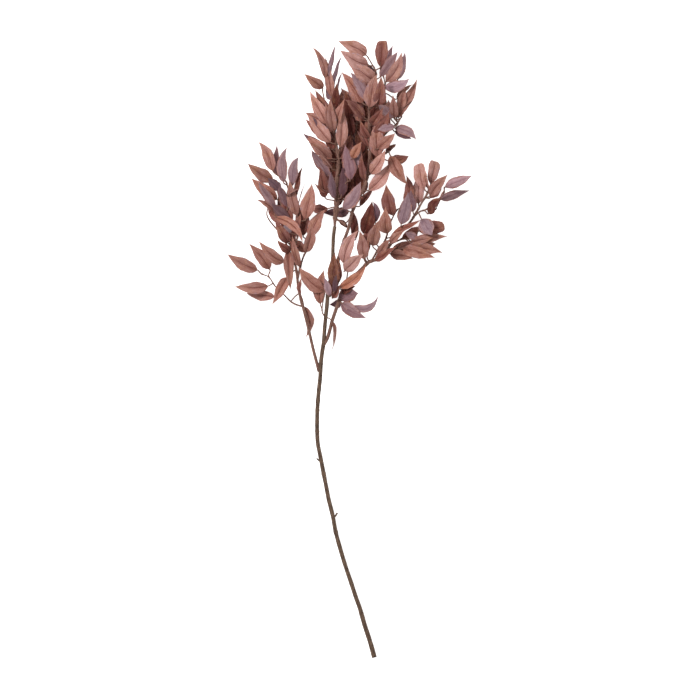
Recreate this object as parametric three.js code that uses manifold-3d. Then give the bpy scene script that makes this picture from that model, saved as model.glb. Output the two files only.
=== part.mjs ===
// A dried willow stem, cut from its plant and lying on its side. One slim woody stem forks into a left
// branch, a right branch and two leaders, and long narrow leaves stand on thin stalks round all of them.
// Millimetres, +Z up. The stem's length runs along +Y and the surface it lies on is Z = 0.
import * as THREE from "three";
import Module from "manifold-3d";

const wasm = await Module();
wasm.setup();

// Driving dimensions
const stemLength = 1100; // cut end to the topmost leaf
const squaresLong = 618; // how many squares of the layout grid that length takes
const square = stemLength / squaresLong;
const gridOrigin = { x: 337, y: 658 }; // the grid point that X = 0, Y = 0 lies on
const leafLength = 62;
const leafWidth = 21;
const ribThickness = 1.6; // a blade is thickest along its midrib and thins to its edges
const ribThinning = 0.45; // how much of that the midrib loses by the tip
const stalkRadius = 1.1;
const stalkReach = 10; // how far behind its blade a leaf looks for the shoot it grows from
const seatGap = 0.3; // between two pieces that meet
const shortestEdge = 0.1; // shorter edges are closed up
const roundTo = 0.05; // vertices are rounded to this, so that slivers close up
const gridMove = roundTo / 8;

// The outline of a blade: width grows as t^baseFullness and dies as (1 - t)^tipTaper from base to tip
const baseFullness = 0.7;
const tipTaper = 1.25;
const widestAt = baseFullness / (baseFullness + tipTaper);
const bladeStations = [0.1, 0.4, 0.76];

// Every leaf differs a little. Each of these is the most that a seeded draw adds or takes away.
const lengthSpread = 0.07;
const widthSpread = 0.08;
const turnSpread = 9; // degrees
const archMiddle = 0.05; // height of the arch over the leaf's length
const archSpread = 0.04;
const bowSpread = 0.035; // sideways bow over the leaf's length
const foldMiddle = 15; // degrees that each half is folded up along the midrib
const foldSpread = 8;

// How finely the wood is divided
const stemSides = 8;
const leaderSides = 6;
const twigSides = 4;
const stemSteps = 2; // to a span of the path
const rootSteps = 4; // places on a span where a leaf can grow
const buriedSteps = 2; // no leaf grows from so much of a spray's foot, which is inside the stem

// Layout. A point is [x, y, z]: x squares to the right and y squares down on the layout grid, and z
// millimetres above the surface. A shoot has its radius from root to tip and its path, which starts
// inside the wood it grows from. A leaf is [x, y] of its base, [x, y] of its tip, the height of its base,
// the degrees it is turned about its own length (0 shows its upper side, 180 its underside, 90 its edge),
// then its size, its width and how strongly it curls and bows, where these differ from an ordinary leaf's.
const mainStem = {
  path: [
    [374.4, 657.9, 4.3], [370, 642, 5], [364.9, 626.3, 6], [361.6, 614.8, 7], [359.2, 606.8, 7.5],
    [355.9, 597.6, 8], [350.8, 582, 9], [345.9, 567.7, 10], [340.4, 549.5, 11.5], [335.6, 532.1, 13],
    [332.9, 517, 14], [328.7, 500, 15.5], [327.2, 492.4, 16], [323.7, 474, 17.5], [320.6, 458, 19],
    [317.9, 444, 20.5], [317.2, 431.2, 21.5], [317.1, 421, 22.5], [317.3, 410.3, 23.5],
    [317.9, 400.6, 24.5], [318.9, 389.4, 25.5], [320.1, 378, 26.5], [320.8, 364, 28],
    [321.9, 354.5, 29], [323.6, 343, 30], [324.6, 329, 31.5], [325.8, 316, 33], [327, 305, 34.5],
    [328.2, 290, 36], [330.9, 275.9, 37.5], [332.5, 261, 39], [333, 247, 40.5], [333.6, 236, 42],
    [334.9, 226.3, 43],
  ],
  radius: [4.3, 3.8, 3.75, 3.7, 3.7, 3.4, 2.9],
  rings: [532.1, 474, 431.2, 410.3, 400.6, 389.4, 364],
};
const ringHeight = 0.5;
const ringWidth = 1.3; // squares
const stubs = [
  { path: [[333.2, 518.5, 14], [335.3, 516.2, 14.5], [337.4, 513, 15]], radius: [1.7, 1.5] },
  { path: [[321, 462, 18.5], [318.6, 460.4, 19], [316.5, 458.4, 19.5]], radius: [1.5, 1.3] },
];

const leftBranch = {
  seed: 11,
  shoots: [
    {
      // branch
      radius: [3, 1.6],
      path: [[319, 371.5, 27], [316, 360, 27], [312.9, 348, 27], [308.7, 329.7, 27], [303, 306.8, 28],
        [299.5, 293, 29], [298, 285, 30], [297, 275, 31], [296, 268, 32], [293, 256, 34],
        [290.5, 244, 36], [288, 232, 38], [285, 218, 39], [281, 203, 40], [278, 191, 40]],
    },
    {
      // low, from the branch
      radius: [1.6, 1],
      path: [[302.7, 306.5, 28], [296, 304.5, 29], [290.5, 301.3, 30], [283.8, 294.6, 32],
        [275.4, 286.6, 32], [269.1, 277.3, 31], [262.5, 274.3, 30]],
    },
    {
      // strut, from the branch
      radius: [1.1, 1],
      path: [[299, 293.3, 29], [295, 296.5, 30], [291, 301, 30]],
    },
    {
      // right, from the branch
      radius: [1.8, 1.1],
      path: [[297.7, 279, 31], [300.5, 266, 36], [303.5, 256.5, 40], [306, 251, 43], [309.5, 240, 46],
        [312, 229, 48]],
    },
    {
      // left, from the branch
      radius: [1.7, 1],
      path: [[295, 265, 33], [289, 250, 34], [282, 236, 32], [275, 227.2, 30], [271, 222.5, 29],
        [267.5, 217, 29], [266.8, 212.5, 30], [268, 207.5, 31]],
    },
    {
      // middle, from the branch
      radius: [1.7, 1],
      path: [[293, 256, 34], [296, 243, 44], [299, 230, 48], [300, 217, 50], [299, 206, 50]],
    },
    {
      // top, from the branch
      radius: [1.6, 1],
      path: [[285, 218, 39], [288, 206, 44], [289, 194, 46], [287, 184, 46]],
    },
  ],
  leaves: [
    [272.6, 170.8, 258.2, 141.8, 44, 0, 1, 1.05, 0, -0.05],
    [273, 180.5, 247.5, 163.3, 50, 0, 1, 1.1, 0, 0.07], [277, 199.5, 251.2, 178, 42, 5, 1, 1.1],
    [275, 208, 258.5, 181.5, 56, 180, 1, 0.8], [275, 211, 255.5, 199.3, 34, 30, 0.75, 0.8, 0, -0.1],
    [279.5, 176.5, 276.7, 144.6, 34, 150, 1, 0.8], [283.5, 182, 287.3, 147, 50, 180, 1, 0.95, 0, -0.08],
    [292, 186, 299, 157.2, 46, 185, 1, 0.8, 0, -0.05], [296, 200, 303, 166, 48, 62, 1, 0.75],
    [298.5, 204.5, 304.6, 184, 46, 88, 0.8, 0.5], [297, 215.5, 289.5, 180, 56, 5, 1, 0.9, 0, 0.06],
    [288.5, 195.5, 300, 189, 62, 80, 0.45, 0.8], [281, 190.5, 268, 178, 44, 185, 0.7, 1],
    [288, 207, 279.5, 185, 48, 170, 0.85, 1], [290, 219.5, 272, 203.5, 46, 170, 0.9, 1],
    [276, 217.5, 302.5, 242.5, 58, 5, 1.05, 0.85, 0, 0.15], [288, 243, 275, 220, 44, 5, 0.85, 1],
    [291, 233, 284, 224, 50, 180, 0.42, 1.1], [290, 252, 277.2, 240, 36, 10, 0.65, 0.9],
    [287.8, 250, 290.3, 290, 35, 15, 1, 0.85], [287.8, 277.5, 272.4, 304, 36, 0, 1, 1.05],
    [284, 262, 258.8, 241.2, 38, 0, 1, 1.1, 0, 0.08], [269.6, 269.3, 248.9, 243.5, 32, 5, 1, 1.1, 0, -0.04],
    [257.3, 270, 227.2, 254, 26, 0, 1, 1.1, 0, 0.05], [268, 286, 234.3, 286.5, 34, 0, 1, 1.05, 0, 0.04],
    [274.5, 296.5, 246, 293, 28, 0, 1, 0.9, 0, 0.04], [306, 252, 311, 222, 50, -5, 1, 1],
    [306, 252, 292, 240, 40, 0, 0.65, 1], [309, 237, 325.5, 209.5, 50, 0, 0.95, 1.1],
    [306, 218.8, 311.8, 184, 62, 0, 1, 1.2], [299.3, 266.5, 292.3, 236, 44, 15, 1, 0.75],
    [297, 262, 289.5, 240, 48, -20, 0.75, 0.7], [300.3, 294, 301.5, 277.5, 34, 60, 0.5, 1],
    [303.8, 306.5, 305.3, 337.5, 20, 20, 1, 0.75, 0, 0.1], [303, 236, 303, 205, 46, 0, 1, 1],
    [299, 226, 307, 200, 42, 10, 0.85, 1], [282, 221, 296, 244, 34, 0, 0.9, 1],
    [293, 238, 301, 214, 38, 10, 0.85, 1], [286, 224, 268, 208, 32, 0, 0.8, 1],
    [291, 222, 281, 196, 38, 0, 0.8, 1.1], [284, 215, 278, 192, 34, 0, 0.72, 0.9],
  ],
};

const rightBranch = {
  seed: 23,
  shoots: [
    {
      // branch
      radius: [3.2, 2.8, 1.5],
      path: [[323.7, 345, 30], [327.4, 338.1, 30], [329.7, 330.5, 30], [332, 321.3, 30],
        [335.1, 312.1, 30], [338.5, 302.2, 30], [342, 292.2, 31], [349, 282, 32], [357, 273.5, 33],
        [364, 266.5, 34], [369, 262, 35], [376, 259.5, 36], [384, 253, 36], [391, 244, 37],
        [398, 235, 38], [405, 228, 39], [411, 221, 40], [416, 213, 41], [421, 204, 42],
        [427, 194, 43], [431, 185, 44]],
    },
    {
      // foot, from the branch
      radius: [1.5, 1],
      path: [[339, 300.5, 30], [345, 300.5, 34], [350.3, 302.3, 37]],
    },
    {
      // lower, from the branch
      radius: [1.6, 1],
      path: [[344, 288.5, 31], [346.5, 280, 37], [347.8, 271.5, 42]],
    },
    {
      // side, from the branch
      radius: [1.7, 1],
      path: [[371.5, 260.8, 35], [378, 250, 40], [385.3, 240, 42], [388, 230, 44], [391.5, 220, 46],
        [397, 210, 46]],
    },
    {
      // spray, from the branch
      radius: [1.5, 1],
      path: [[391, 244, 37], [399.5, 240, 34], [408, 238, 30], [415, 236.5, 28]],
    },
    {
      // bottom, from the branch
      radius: [1.5, 1],
      path: [[384, 253, 36], [393, 250.5, 31], [401, 248.5, 27], [408, 247.5, 24]],
    },
    {
      // outer, from the branch
      radius: [1.6, 1],
      path: [[414, 216.5, 40.5], [420, 211.5, 38], [427, 209, 36], [437, 201, 32], [444, 192.5, 29]],
    },
  ],
  leaves: [
    [343.8, 263.5, 358.5, 230.5, 58, 0, 1, 1.15, 0, 0.09], [344.5, 271, 363.5, 254.5, 62, 0, 0.8, 1.2],
    [364, 259, 359.5, 231, 46, 0, 0.9, 1], [365, 258, 367.3, 223.5, 42, 5, 1, 0.95],
    [372.8, 245.8, 380, 219.5, 50, 0, 1, 1.1, 0, 0.06], [367, 256.5, 370, 235.5, 40, 45, 0.7, 0.8],
    [393, 215.5, 386, 184.5, 52, 20, 1, 1.35], [387.5, 233.5, 385.5, 207, 44, 0, 0.9, 1.15, 0, 0.08],
    [401, 224.5, 408, 192, 58, 180, 1, 1.1], [405, 206, 406.3, 175.2, 42, 15, 1, 0.9, 0, -0.12],
    [413, 212, 411, 190, 50, 180, 0.7, 1.1], [418.5, 203.8, 418.5, 173, 38, 0, 0.9, 1.15],
    [424.5, 189, 418.2, 162.8, 50, 0, 0.85, 1.2, 0.28], [428, 188.5, 425, 172.5, 46, 40, 0.6, 0.8],
    [430.6, 184, 435.4, 160, 43, -5, 0.8, 1.15, 0.34], [430, 196, 447.5, 174.8, 50, 0, 1, 0.9],
    [430, 198, 442, 188.5, 42, 15, 0.6, 0.9], [444.8, 187, 472, 175.6, 30, 180, 1, 0.9, 0, -0.02],
    [440.8, 199.5, 469.7, 190.2, 26, 185, 1, 0.85, 0, -0.01], [428.5, 213.5, 441, 197.5, 44, 25, 0.65, 1.2],
    [391, 237, 421.5, 219.5, 48, 30, 1, 0.65], [390, 243, 404, 231, 44, 10, 0.6, 0.9],
    [421.5, 219, 432, 235.5, 54, 180, 0.6, 1.6], [419, 231, 445.8, 227.8, 34, 0, 0.8, 1.25, 0.26, 0.04],
    [414, 240, 447.3, 236.6, 30, 5, 1, 0.85], [418, 238, 405, 232, 42, 170, 0.5, 1],
    [407, 247, 442.7, 252.8, 34, 0, 1, 1.05, 0, 0.06], [411, 242.5, 433, 237.5, 36, -10, 0.72, 0.9],
    [403, 248.5, 435, 257.8, 28, 0, 1, 1.05], [390, 253.5, 413, 258.8, 30, 0, 0.7, 1.15],
    [375, 260, 396, 247, 42, 15, 0.8, 1, 0, -0.08], [378, 256, 390.5, 239, 38, 0, 0.75, 0.8],
    [338.9, 287.2, 366.3, 264, 57, 0, 1, 0.85, 0, -0.13], [342, 293, 355.6, 286.4, 42, 20, 0.55, 0.9],
    [339, 298, 358.3, 293.3, 40, 180, 0.7, 1.6], [351.5, 305.5, 378.4, 295.8, 40, 180, 1, 0.7, 0, 0.28],
    [341, 302.5, 366, 318, 34, 180, 1, 0.95, 0, 0.07], [341, 303.5, 329.5, 304.5, 24, 180, 0.5, 1],
    [402, 238, 421, 226, 32, 0, 0.75, 1], [392, 250, 413, 243, 30, 0, 0.8, 0.9],
    [396, 253, 420, 240.5, 26, 0, 0.8, 1.1], [413, 243.5, 436, 243.5, 27, 0, 0.75, 1],
    [342, 303, 361, 312.5, 42, 180, 0.65, 0.9], [364.3, 234, 372.3, 201, 44, -15, 1, 1.15, 0, 0.04],
    [375.2, 222.5, 373, 202, 52, 165, 0.6, 0.85, 0, 0.14], [436.5, 208.5, 445.5, 187.5, 54, 70, 0.65, 0.6],
  ],
};

const leftLeader = {
  seed: 45,
  shoots: [
    {
      // leader
      radius: [2, 4.3, 3.7, 3, 2.7, 2.4, 2],
      path: [[334.9, 226, 43], [335, 218, 44], [336.3, 209, 45], [336.9, 198, 47], [337.9, 190, 49],
        [336.9, 178, 51], [338, 171, 52], [338.5, 161, 54], [337.4, 153.6, 55], [336.2, 143.4, 56],
        [334.9, 134.7, 57]],
    },
    {
      // crown, from the leader
      radius: [1.8, 1],
      path: [[335.5, 138, 57], [331, 122, 59], [326.5, 108, 59], [323.5, 96, 58], [322.3, 89, 57]],
    },
    {
      // middle, from the leader
      radius: [1.8, 1],
      path: [[335, 137, 57], [334.3, 120, 52], [333, 105, 50], [331.3, 92, 52], [330, 80, 54]],
    },
    {
      // right, from the leader
      radius: [1.7, 1],
      path: [[338, 157, 54], [340, 147, 60], [340.5, 136, 62], [339, 127, 60]],
    },
    {
      // front, from the leader
      radius: [1.5, 1],
      path: [[337.5, 188, 49], [342.5, 186, 60], [347, 182, 64]],
    },
    {
      // tab, from the leader
      radius: [1.7, 2.2],
      path: [[335, 219, 44], [341.5, 221.8, 46], [346.5, 225.6, 48]],
    },
  ],
  leaves: [
    [324.8, 78, 312.3, 47, 60, 25, 1, 0.7, 0, -0.14], [331.5, 97, 325.5, 57, 58, 20, 1, 0.75],
    [330, 78, 335.8, 44, 62, 120, 1, 0.65], [333.5, 90, 342.2, 54.2, 60, 122, 1, 0.7],
    [322.7, 88, 304, 74, 60, 5, 0.8, 1.15], [331, 100, 326.5, 80, 50, 180, 0.75, 0.9],
    [334.5, 108, 337, 83, 52, 10, 0.8, 0.8], [337.5, 96, 342.3, 71.5, 46, 95, 0.8, 0.6],
    [336, 129, 344.8, 99, 62, 20, 1, 0.8], [334, 131.5, 330.5, 98, 68, 0, 1, 0.85],
    [333, 133, 325.5, 104, 60, -20, 1, 0.85], [339.8, 147.2, 343.8, 108, 70, -10, 1, 1.1],
    [327, 124, 310, 91.5, 68, 0, 1, 1.1], [328, 119, 315, 90, 60, -15, 0.93, 0.9],
    [325, 124, 305.3, 112.5, 56, 25, 0.7, 0.9, 0, -0.08], [330.3, 142.3, 307.3, 115.2, 70, 0, 1, 1.1],
    [327, 139, 305.5, 119, 56, 10, 0.86, 0.9], [333, 138, 312, 116.8, 62, 150, 1, 0.6],
    [331.5, 158.5, 306, 135.3, 66, 0, 1, 1.08], [326, 149, 302.8, 133.2, 58, 165, 0.85, 0.7],
    [330.5, 161, 309, 143, 60, -10, 1, 1], [329.5, 176.5, 311.5, 150, 58, 180, 1, 0.85],
    [331.5, 168.5, 320, 154, 55, 60, 0.8, 0.8], [325.2, 197.5, 319.3, 166.5, 50, -15, 1, 0.95],
    [330, 193, 314.5, 183.2, 56, 65, 0.6, 0.9], [335, 199, 331, 172, 60, 170, 1, 0.8],
    [341, 197, 342.5, 166, 60, 190, 1, 0.85], [350, 180, 345, 144.5, 76, 180, 1, 1.1],
    [347.5, 177, 361.5, 142.3, 68, 200, 1, 0.95], [342.5, 208.7, 360.9, 182, 72, 180, 1, 1.1, 0, 0.05],
    [349, 211, 321, 212.5, 30, 185, 1, 0.9], [328, 208.5, 311, 209.5, 36, 0, 0.8, 1],
    [341, 166, 345, 147, 48, 20, 0.8, 0.9], [342, 162, 353, 132, 50, 0, 0.92, 1],
    [342, 180, 351, 152, 46, 10, 0.9, 0.9], [344, 199, 355, 171, 46, 0, 0.9, 1],
    [333, 176, 324, 148, 42, 0, 0.9, 1], [334, 190, 327, 163, 40, 10, 0.85, 1],
    [338.5, 122, 341.5, 91, 50, 0, 0.95, 0.9], [336, 166, 328, 142, 46, 0, 0.75, 0.9],
    [333, 150, 322, 120, 54, 0, 0.9, 1], [338, 190, 333.5, 164, 46, 0, 0.8, 1],
    [352.5, 158.5, 361.3, 142, 74, 0, 0.52, 1], [338, 206, 341.5, 181, 34, 0, 0.75, 0.9],
    [338.5, 220.3, 348.5, 228.3, 42, 20, 0.38, 0.75], [338, 172, 334.5, 142, 44, 0, 0.85, 0.9],
  ],
};

const rightLeader = {
  seed: 51,
  shoots: [
    {
      // leader
      radius: [2.9, 2.8, 2.8, 2.8, 2.4, 1.8],
      path: [[328.3, 289.5, 36], [333, 282, 42], [337.5, 271, 47], [338.3, 261, 48],
        [340.8, 250, 49], [343.5, 242, 51], [346.5, 234, 53], [348.8, 227, 54], [351, 217, 56],
        [353.7, 208, 57], [357.3, 200.5, 58], [362, 192, 60], [366, 182, 61], [368, 172, 62],
        [369.5, 157, 63], [369.8, 140, 63], [369, 122, 62], [369, 108, 61]],
    },
    {
      // crown, from the leader
      radius: [1.6, 1],
      path: [[369, 111, 61], [372.3, 96, 60], [374.8, 82, 62], [375.6, 71.5, 65], [371.8, 64, 68],
        [368.5, 58.5, 70]],
    },
    {
      // second, from the leader
      radius: [1.6, 1],
      path: [[369, 110, 61], [376.5, 103, 57], [383, 95, 56], [385, 84, 57], [383, 75, 58]],
    },
    {
      // upper, from the leader
      radius: [1.7, 1],
      path: [[369.7, 148, 63], [378, 141, 58], [387, 132.5, 54], [394.5, 126, 52], [398.5, 121.5, 52],
        [402, 116, 52]],
    },
    {
      // middle, from the leader
      radius: [1.7, 1],
      path: [[369.2, 162, 62.5], [377, 158.5, 54], [385, 153, 50], [390, 150.5, 48]],
    },
    {
      // inner, from the leader
      radius: [1.6, 1],
      path: [[369.8, 142, 63], [364.5, 131, 66], [359.5, 120, 66], [357, 110, 64]],
    },
    {
      // deep, from the leader
      radius: [1.6, 1],
      path: [[366, 182, 61], [361.5, 174, 50], [358.5, 163, 40], [356.5, 149, 32], [356, 134, 30],
        [357.5, 119, 30]],
    },
  ],
  leaves: [
    [366, 55.5, 337.8, 41.3, 72, 0, 1, 1.08, 0, -0.08], [368, 65.5, 340, 50.7, 70, -5, 1, 1.35, 0, 0.06],
    [375, 79, 365, 60.5, 58, 190, 0.75, 1], [374, 81, 348, 64, 62, 0, 0.95, 1.4],
    [367.5, 100, 350.5, 72.8, 70, 180, 0.9, 1.05], [380.5, 67, 381.3, 39.8, 62, 0, 0.88, 1.05, 0.32],
    [383, 73, 393, 44.6, 50, 175, 1, 0.85], [380, 77, 397.6, 52, 60, 190, 1, 0.9],
    [386, 81.5, 401.5, 52.5, 66, 0, 1, 1.05, 0, -0.06], [398, 79, 405, 52, 52, 165, 0.8, 0.8, 0, 0.08],
    [384, 87.5, 409.2, 78.5, 60, 180, 1, 1.05, 0, 0.1], [397, 99, 413.2, 84, 44, 60, 1, 0.7],
    [399, 115, 416.8, 79.2, 58, 10, 1, 0.95, 0, -0.07], [396.5, 118, 406, 86.5, 54, -10, 1, 1],
    [394, 118, 392.8, 95, 56, 20, 0.8, 0.9], [391, 119, 388.5, 99.5, 50, 0, 0.8, 0.9],
    [402, 112, 412.7, 101, 52, 85, 0.6, 0.7], [393.5, 118, 378.5, 105.5, 62, 180, 0.75, 1.1],
    [369.5, 107.5, 377, 74.5, 72, 5, 1, 1.2], [377.5, 107.5, 381, 76.5, 68, -10, 1, 1.1],
    [384, 108.5, 385.5, 86, 58, 30, 0.8, 0.8], [365, 120.5, 349.5, 108, 60, 30, 0.8, 0.9],
    [371.5, 125, 383, 108, 64, 0, 0.8, 1], [376, 139, 389, 112, 60, -15, 1, 1.1],
    [395, 126.5, 377.5, 130, 70, 175, 0.7, 0.8], [394.5, 128, 416, 140, 60, 180, 0.8, 0.9, 0, -0.08],
    [378.3, 157, 376, 120.5, 66, 5, 1, 1.35], [378, 148.5, 395, 133.5, 74, 0, 0.7, 1.1],
    [386.5, 153.5, 396, 144, 44, 40, 0.5, 0.9], [390.5, 156, 407.2, 184.3, 62, 0, 1, 1.05, 0, -0.06],
    [388, 160.5, 408.8, 155.8, 48, 10, 0.7, 1, 0, -0.08],
    [370.5, 174, 385.3, 150, 66, 5, 0.9, 1.15, 0, -0.06], [368.8, 190, 391, 162, 64, 0, 1, 1.1, 0, -0.08],
    [360, 206, 373.5, 188.5, 50, 30, 0.75, 0.8], [364, 181, 362, 153, 60, 25, 1, 0.7],
    [368, 147.5, 352, 126, 60, -40, 1, 0.7], [369, 138.5, 361, 121, 66, 20, 0.7, 0.9],
    [356, 239, 351.5, 208, 46, 20, 1, 0.8], [362.5, 103, 341.5, 72.5, 60, 0, 1, 1.05, 0, -0.04],
    [364.5, 118, 345, 100, 66, -5, 0.9, 0.95], [357, 108, 341, 88, 56, 0, 0.85, 0.95],
    [329.5, 296, 324.2, 277.5, 58, 185, 0.55, 0.85], [334, 289, 335, 252.5, 54, 5, 1, 1.2],
    [333.9, 292.5, 336.6, 274.5, 61, 195, 0.58, 0.6], [333, 298, 341, 285, 46, 0, 0.5, 1],
    [350, 119, 345.5, 91, 42, 0, 0.85, 1], [362, 168, 351, 140, 30, 0, 1, 1],
    [357, 160, 369, 133, 32, 10, 1, 1], [354.5, 147, 346, 118, 26, 170, 1, 1],
    [357, 137, 365, 107, 28, 0, 1, 1], [355, 133, 349, 102, 24, 0, 1, 1], [359, 120, 371, 92, 26, 0, 1, 1],
    [356, 119, 352, 88, 26, 20, 1, 1], [364, 180, 352, 154, 40, 0, 0.9, 1],
    [371, 124, 375, 98, 50, 0, 0.8, 1], [372, 104, 366, 78, 44, 0, 0.8, 0.9],
    [394.5, 131.5, 411.5, 139, 56, 185, 0.55, 0.95, 0, -0.02], [354, 193, 356.5, 164, 38, 0, 0.85, 0.95],
    [361.5, 153, 357.5, 126, 32, 0, 0.8, 1], [352, 136, 346, 103, 44, 5, 0.85, 1],
    [366, 128, 361, 95, 36, 0, 0.9, 1], [369, 142, 367.5, 110, 50, 10, 0.85, 0.9],
    [384.5, 133, 386, 103, 42, 0, 0.8, 1], [380, 128, 379.5, 100, 40, 10, 0.75, 0.9],
    [363.5, 194, 358, 163, 42, 0, 0.85, 1.1], [372, 169, 375, 144, 46, 0, 0.7, 1],
    [337.5, 284, 337.3, 256, 56, 10, 0.8, 0.9], [367.5, 176, 366.5, 147, 44, 0, 0.82, 0.95],
    [363.5, 105, 366, 77, 42, 0, 0.8, 0.9], [361, 116, 358, 91, 38, 0, 0.72, 0.9],
  ],
};

const leftSprig = {
  seed: 67,
  shoots: [
    {
      // sprig
      radius: [1.3, 0.9],
      path: [[325.6, 318, 33], [322.2, 312, 37], [322.6, 304, 41], [324.2, 296, 44], [325, 291, 45]],
    },
  ],
  leaves: [
    [324.2, 291, 299, 267, 46, 0, 1, 1.2, 0, 0.1], [320.5, 304, 324, 269.5, 38, 10, 1, 1.1, 0, 0.07],
  ],
};

const hangingLeaf = {
  seed: 79,
  shoots: [{ radius: [1.2, 0.9], path: [[325.8, 316.5, 33], [331, 319.6, 38.5]] }],
  leaves: [[332.6, 321.5, 331, 351, 37, 62, 1, 0.7]],
};

// Grid point to millimetres
function place([x, y, z]) {
  return new THREE.Vector3((x - gridOrigin.x) * square, (gridOrigin.y - y) * square, z);
}

// A seeded run of numbers from 0 to 1: each state is the last one times 1664525 plus 1013904223, mod 2^32
function drawsFrom(seed) {
  let state = seed;
  return () => {
    state = (Math.imul(state, 1664525) + 1013904223) >>> 0;
    return state / 2 ** 32;
  };
}

// A draw spread evenly over middle - spread to middle + spread
const around = (draw, middle, spread) => middle + (2 * draw() - 1) * spread;

// The value at fraction u of a list of values spaced evenly from 0 to 1
function along(values, u) {
  const at = Math.min(u, 1) * (values.length - 1);
  const low = Math.min(Math.floor(at), values.length - 2);
  return THREE.MathUtils.lerp(values[low], values[low + 1], at - low);
}

// Points of a smooth curve through a path, with so many steps between each two of its points
function curvePoints(path, stepsPerSpan) {
  const curve = new THREE.CatmullRomCurve3(path.map(place), false, "catmullrom", 0.5);
  return curve.getPoints((path.length - 1) * stepsPerSpan);
}

// Points along the straight spans of a path, with so many steps to a span
function spanPoints(path, steps) {
  const placed = path.map(place);
  return Array.from({ length: (path.length - 1) * steps + 1 }, (_, i) => {
    const span = Math.min(Math.floor(i / steps), path.length - 2);
    return placed[span].clone().lerp(placed[span + 1], i / steps - span);
  });
}

// A closed solid through rings of as many points each, ending flat or in a tip. Neighbouring rings are
// joined by triangles, whose diagonals all run from an even point to an odd one, so that both faces of a
// thin blade split alike.
function loft(rings, tip) {
  const sides = rings[0].length;
  const index = [];
  for (let ring = 0; ring < rings.length - 1; ring += 1) {
    for (let side = 0; side < sides; side += 1) {
      const next = (side + 1) % sides;
      const [a, b] = [ring * sides + side, ring * sides + next];
      const [c, d] = [a + sides, b + sides];
      if (side % 2 === 0) index.push(a, d, b, a, c, d);
      else index.push(a, c, b, b, c, d);
    }
  }
  const last = (rings.length - 1) * sides;
  for (let side = 1; side < sides - 1; side += 1) index.push(0, side, side + 1);
  if (tip) {
    for (let side = 0; side < sides; side += 1) {
      index.push(last + side, last + sides, last + ((side + 1) % sides));
    }
  } else {
    for (let side = 1; side < sides - 1; side += 1) index.push(last, last + side + 1, last + side);
  }
  const mesh = new wasm.Mesh({
    numProp: 3,
    vertProperties: Float32Array.from([...rings.flat(), tip ?? []].flat().flatMap((p) => p.toArray())),
    triVerts: Uint32Array.from(index),
  });
  return new wasm.Manifold(mesh);
}

// Directions square to a tangent: side lies level, and up is as near to +Z as it can be
function frameAt(tangent) {
  const side = new THREE.Vector3(0, 0, 1).cross(tangent).normalize();
  return { side, up: tangent.clone().cross(side) };
}

// Wood: rings of a given radius round a curve, square to it
function tube(points, radiusAt, sides) {
  const rings = points.map((point, i) => {
    const tangent = points[Math.min(i + 1, points.length - 1)].clone();
    tangent.sub(points[Math.max(i - 1, 0)]).normalize();
    const { side, up } = frameAt(tangent);
    const radius = radiusAt(i / (points.length - 1), point);
    return Array.from({ length: sides }, (_, k) => {
      const angle = (2 * Math.PI * k) / sides;
      const across = side.clone().multiplyScalar(-radius * Math.cos(angle));
      return point.clone().add(across).addScaledVector(up, radius * Math.sin(angle));
    });
  });
  return loft(rings);
}

// The bare stem: it tapers as listed and swells in a low ring where a leaf has fallen
function stemSolid(extra) {
  const ringPlaces = mainStem.rings.map((y) => (gridOrigin.y - y) * square);
  const radiusAt = (u, point) => {
    const swellings = ringPlaces.map((y) => Math.exp(-(((point.y - y) / (ringWidth * square)) ** 2)));
    return along(mainStem.radius, u) + extra + ringHeight * Math.max(...swellings);
  };
  return tube(curvePoints(mainStem.path, stemSteps), radiusAt, stemSides);
}

// A shoot or stub: straight spans between the points of its path
function shootSolid(shoot, sides) {
  return tube(shoot.path.map(place), (u) => along(shoot.radius, u), sides);
}

// A leaf from its root on a shoot, through its stalk, to the tip of its blade. The midrib runs from base
// to tip, arched towards its upper side and bowed sideways by parabolas, and lies along the surface where
// it would dip below it. Each ring has four points: left edge, rib below, right edge, rib above.
function leafSolid(leaf) {
  const { root, base, tip, turn, width, arch, bow, fold } = leaf;
  const chord = tip.clone().sub(base);
  const length = chord.length();
  const axis = chord.clone().normalize();
  const level = frameAt(axis);
  const across = level.side.clone().multiplyScalar(Math.cos(turn)).addScaledVector(level.up, -Math.sin(turn));
  const upper = axis.clone().cross(across);
  const ringAt = (middle, tangent, halfWidth, halfThickness, lift) => {
    const side = across.clone().addScaledVector(tangent, -across.dot(tangent)).normalize();
    const normal = tangent.clone().cross(side);
    middle.z = Math.max(middle.z, ribThickness / 2);
    const edge = (sign) => {
      const point = middle.clone().addScaledVector(side, sign * halfWidth * Math.cos(lift));
      point.addScaledVector(normal, halfWidth * Math.sin(lift));
      point.z = Math.max(point.z, 0);
      return point;
    };
    return [edge(1), middle.clone().addScaledVector(normal, -halfThickness),
      edge(-1), middle.clone().addScaledVector(normal, halfThickness)];
  };
  const stalk = base.clone().sub(root).normalize();
  const rings = [
    ringAt(root.clone(), stalk, stalkRadius, stalkRadius, 0),
    ringAt(base.clone(), axis, stalkRadius, stalkRadius, 0),
  ];
  const widest = widestAt ** baseFullness * (1 - widestAt) ** tipTaper;
  bladeStations.forEach((t) => {
    const middle = base.clone().addScaledVector(chord, t);
    middle.addScaledVector(upper, arch * length * 4 * t * (1 - t));
    middle.addScaledVector(across, bow * length * 4 * t * (1 - t));
    const tangent = axis.clone().addScaledVector(upper, arch * 4 * (1 - 2 * t));
    tangent.addScaledVector(across, bow * 4 * (1 - 2 * t)).normalize();
    const outline = (t ** baseFullness * (1 - t) ** tipTaper) / widest;
    const halfThickness = (ribThickness / 2) * (1 - ribThinning * t);
    rings.push(ringAt(middle, tangent, (outline * width) / 2, halfThickness, fold));
  });
  return loft(rings, tip);
}

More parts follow.
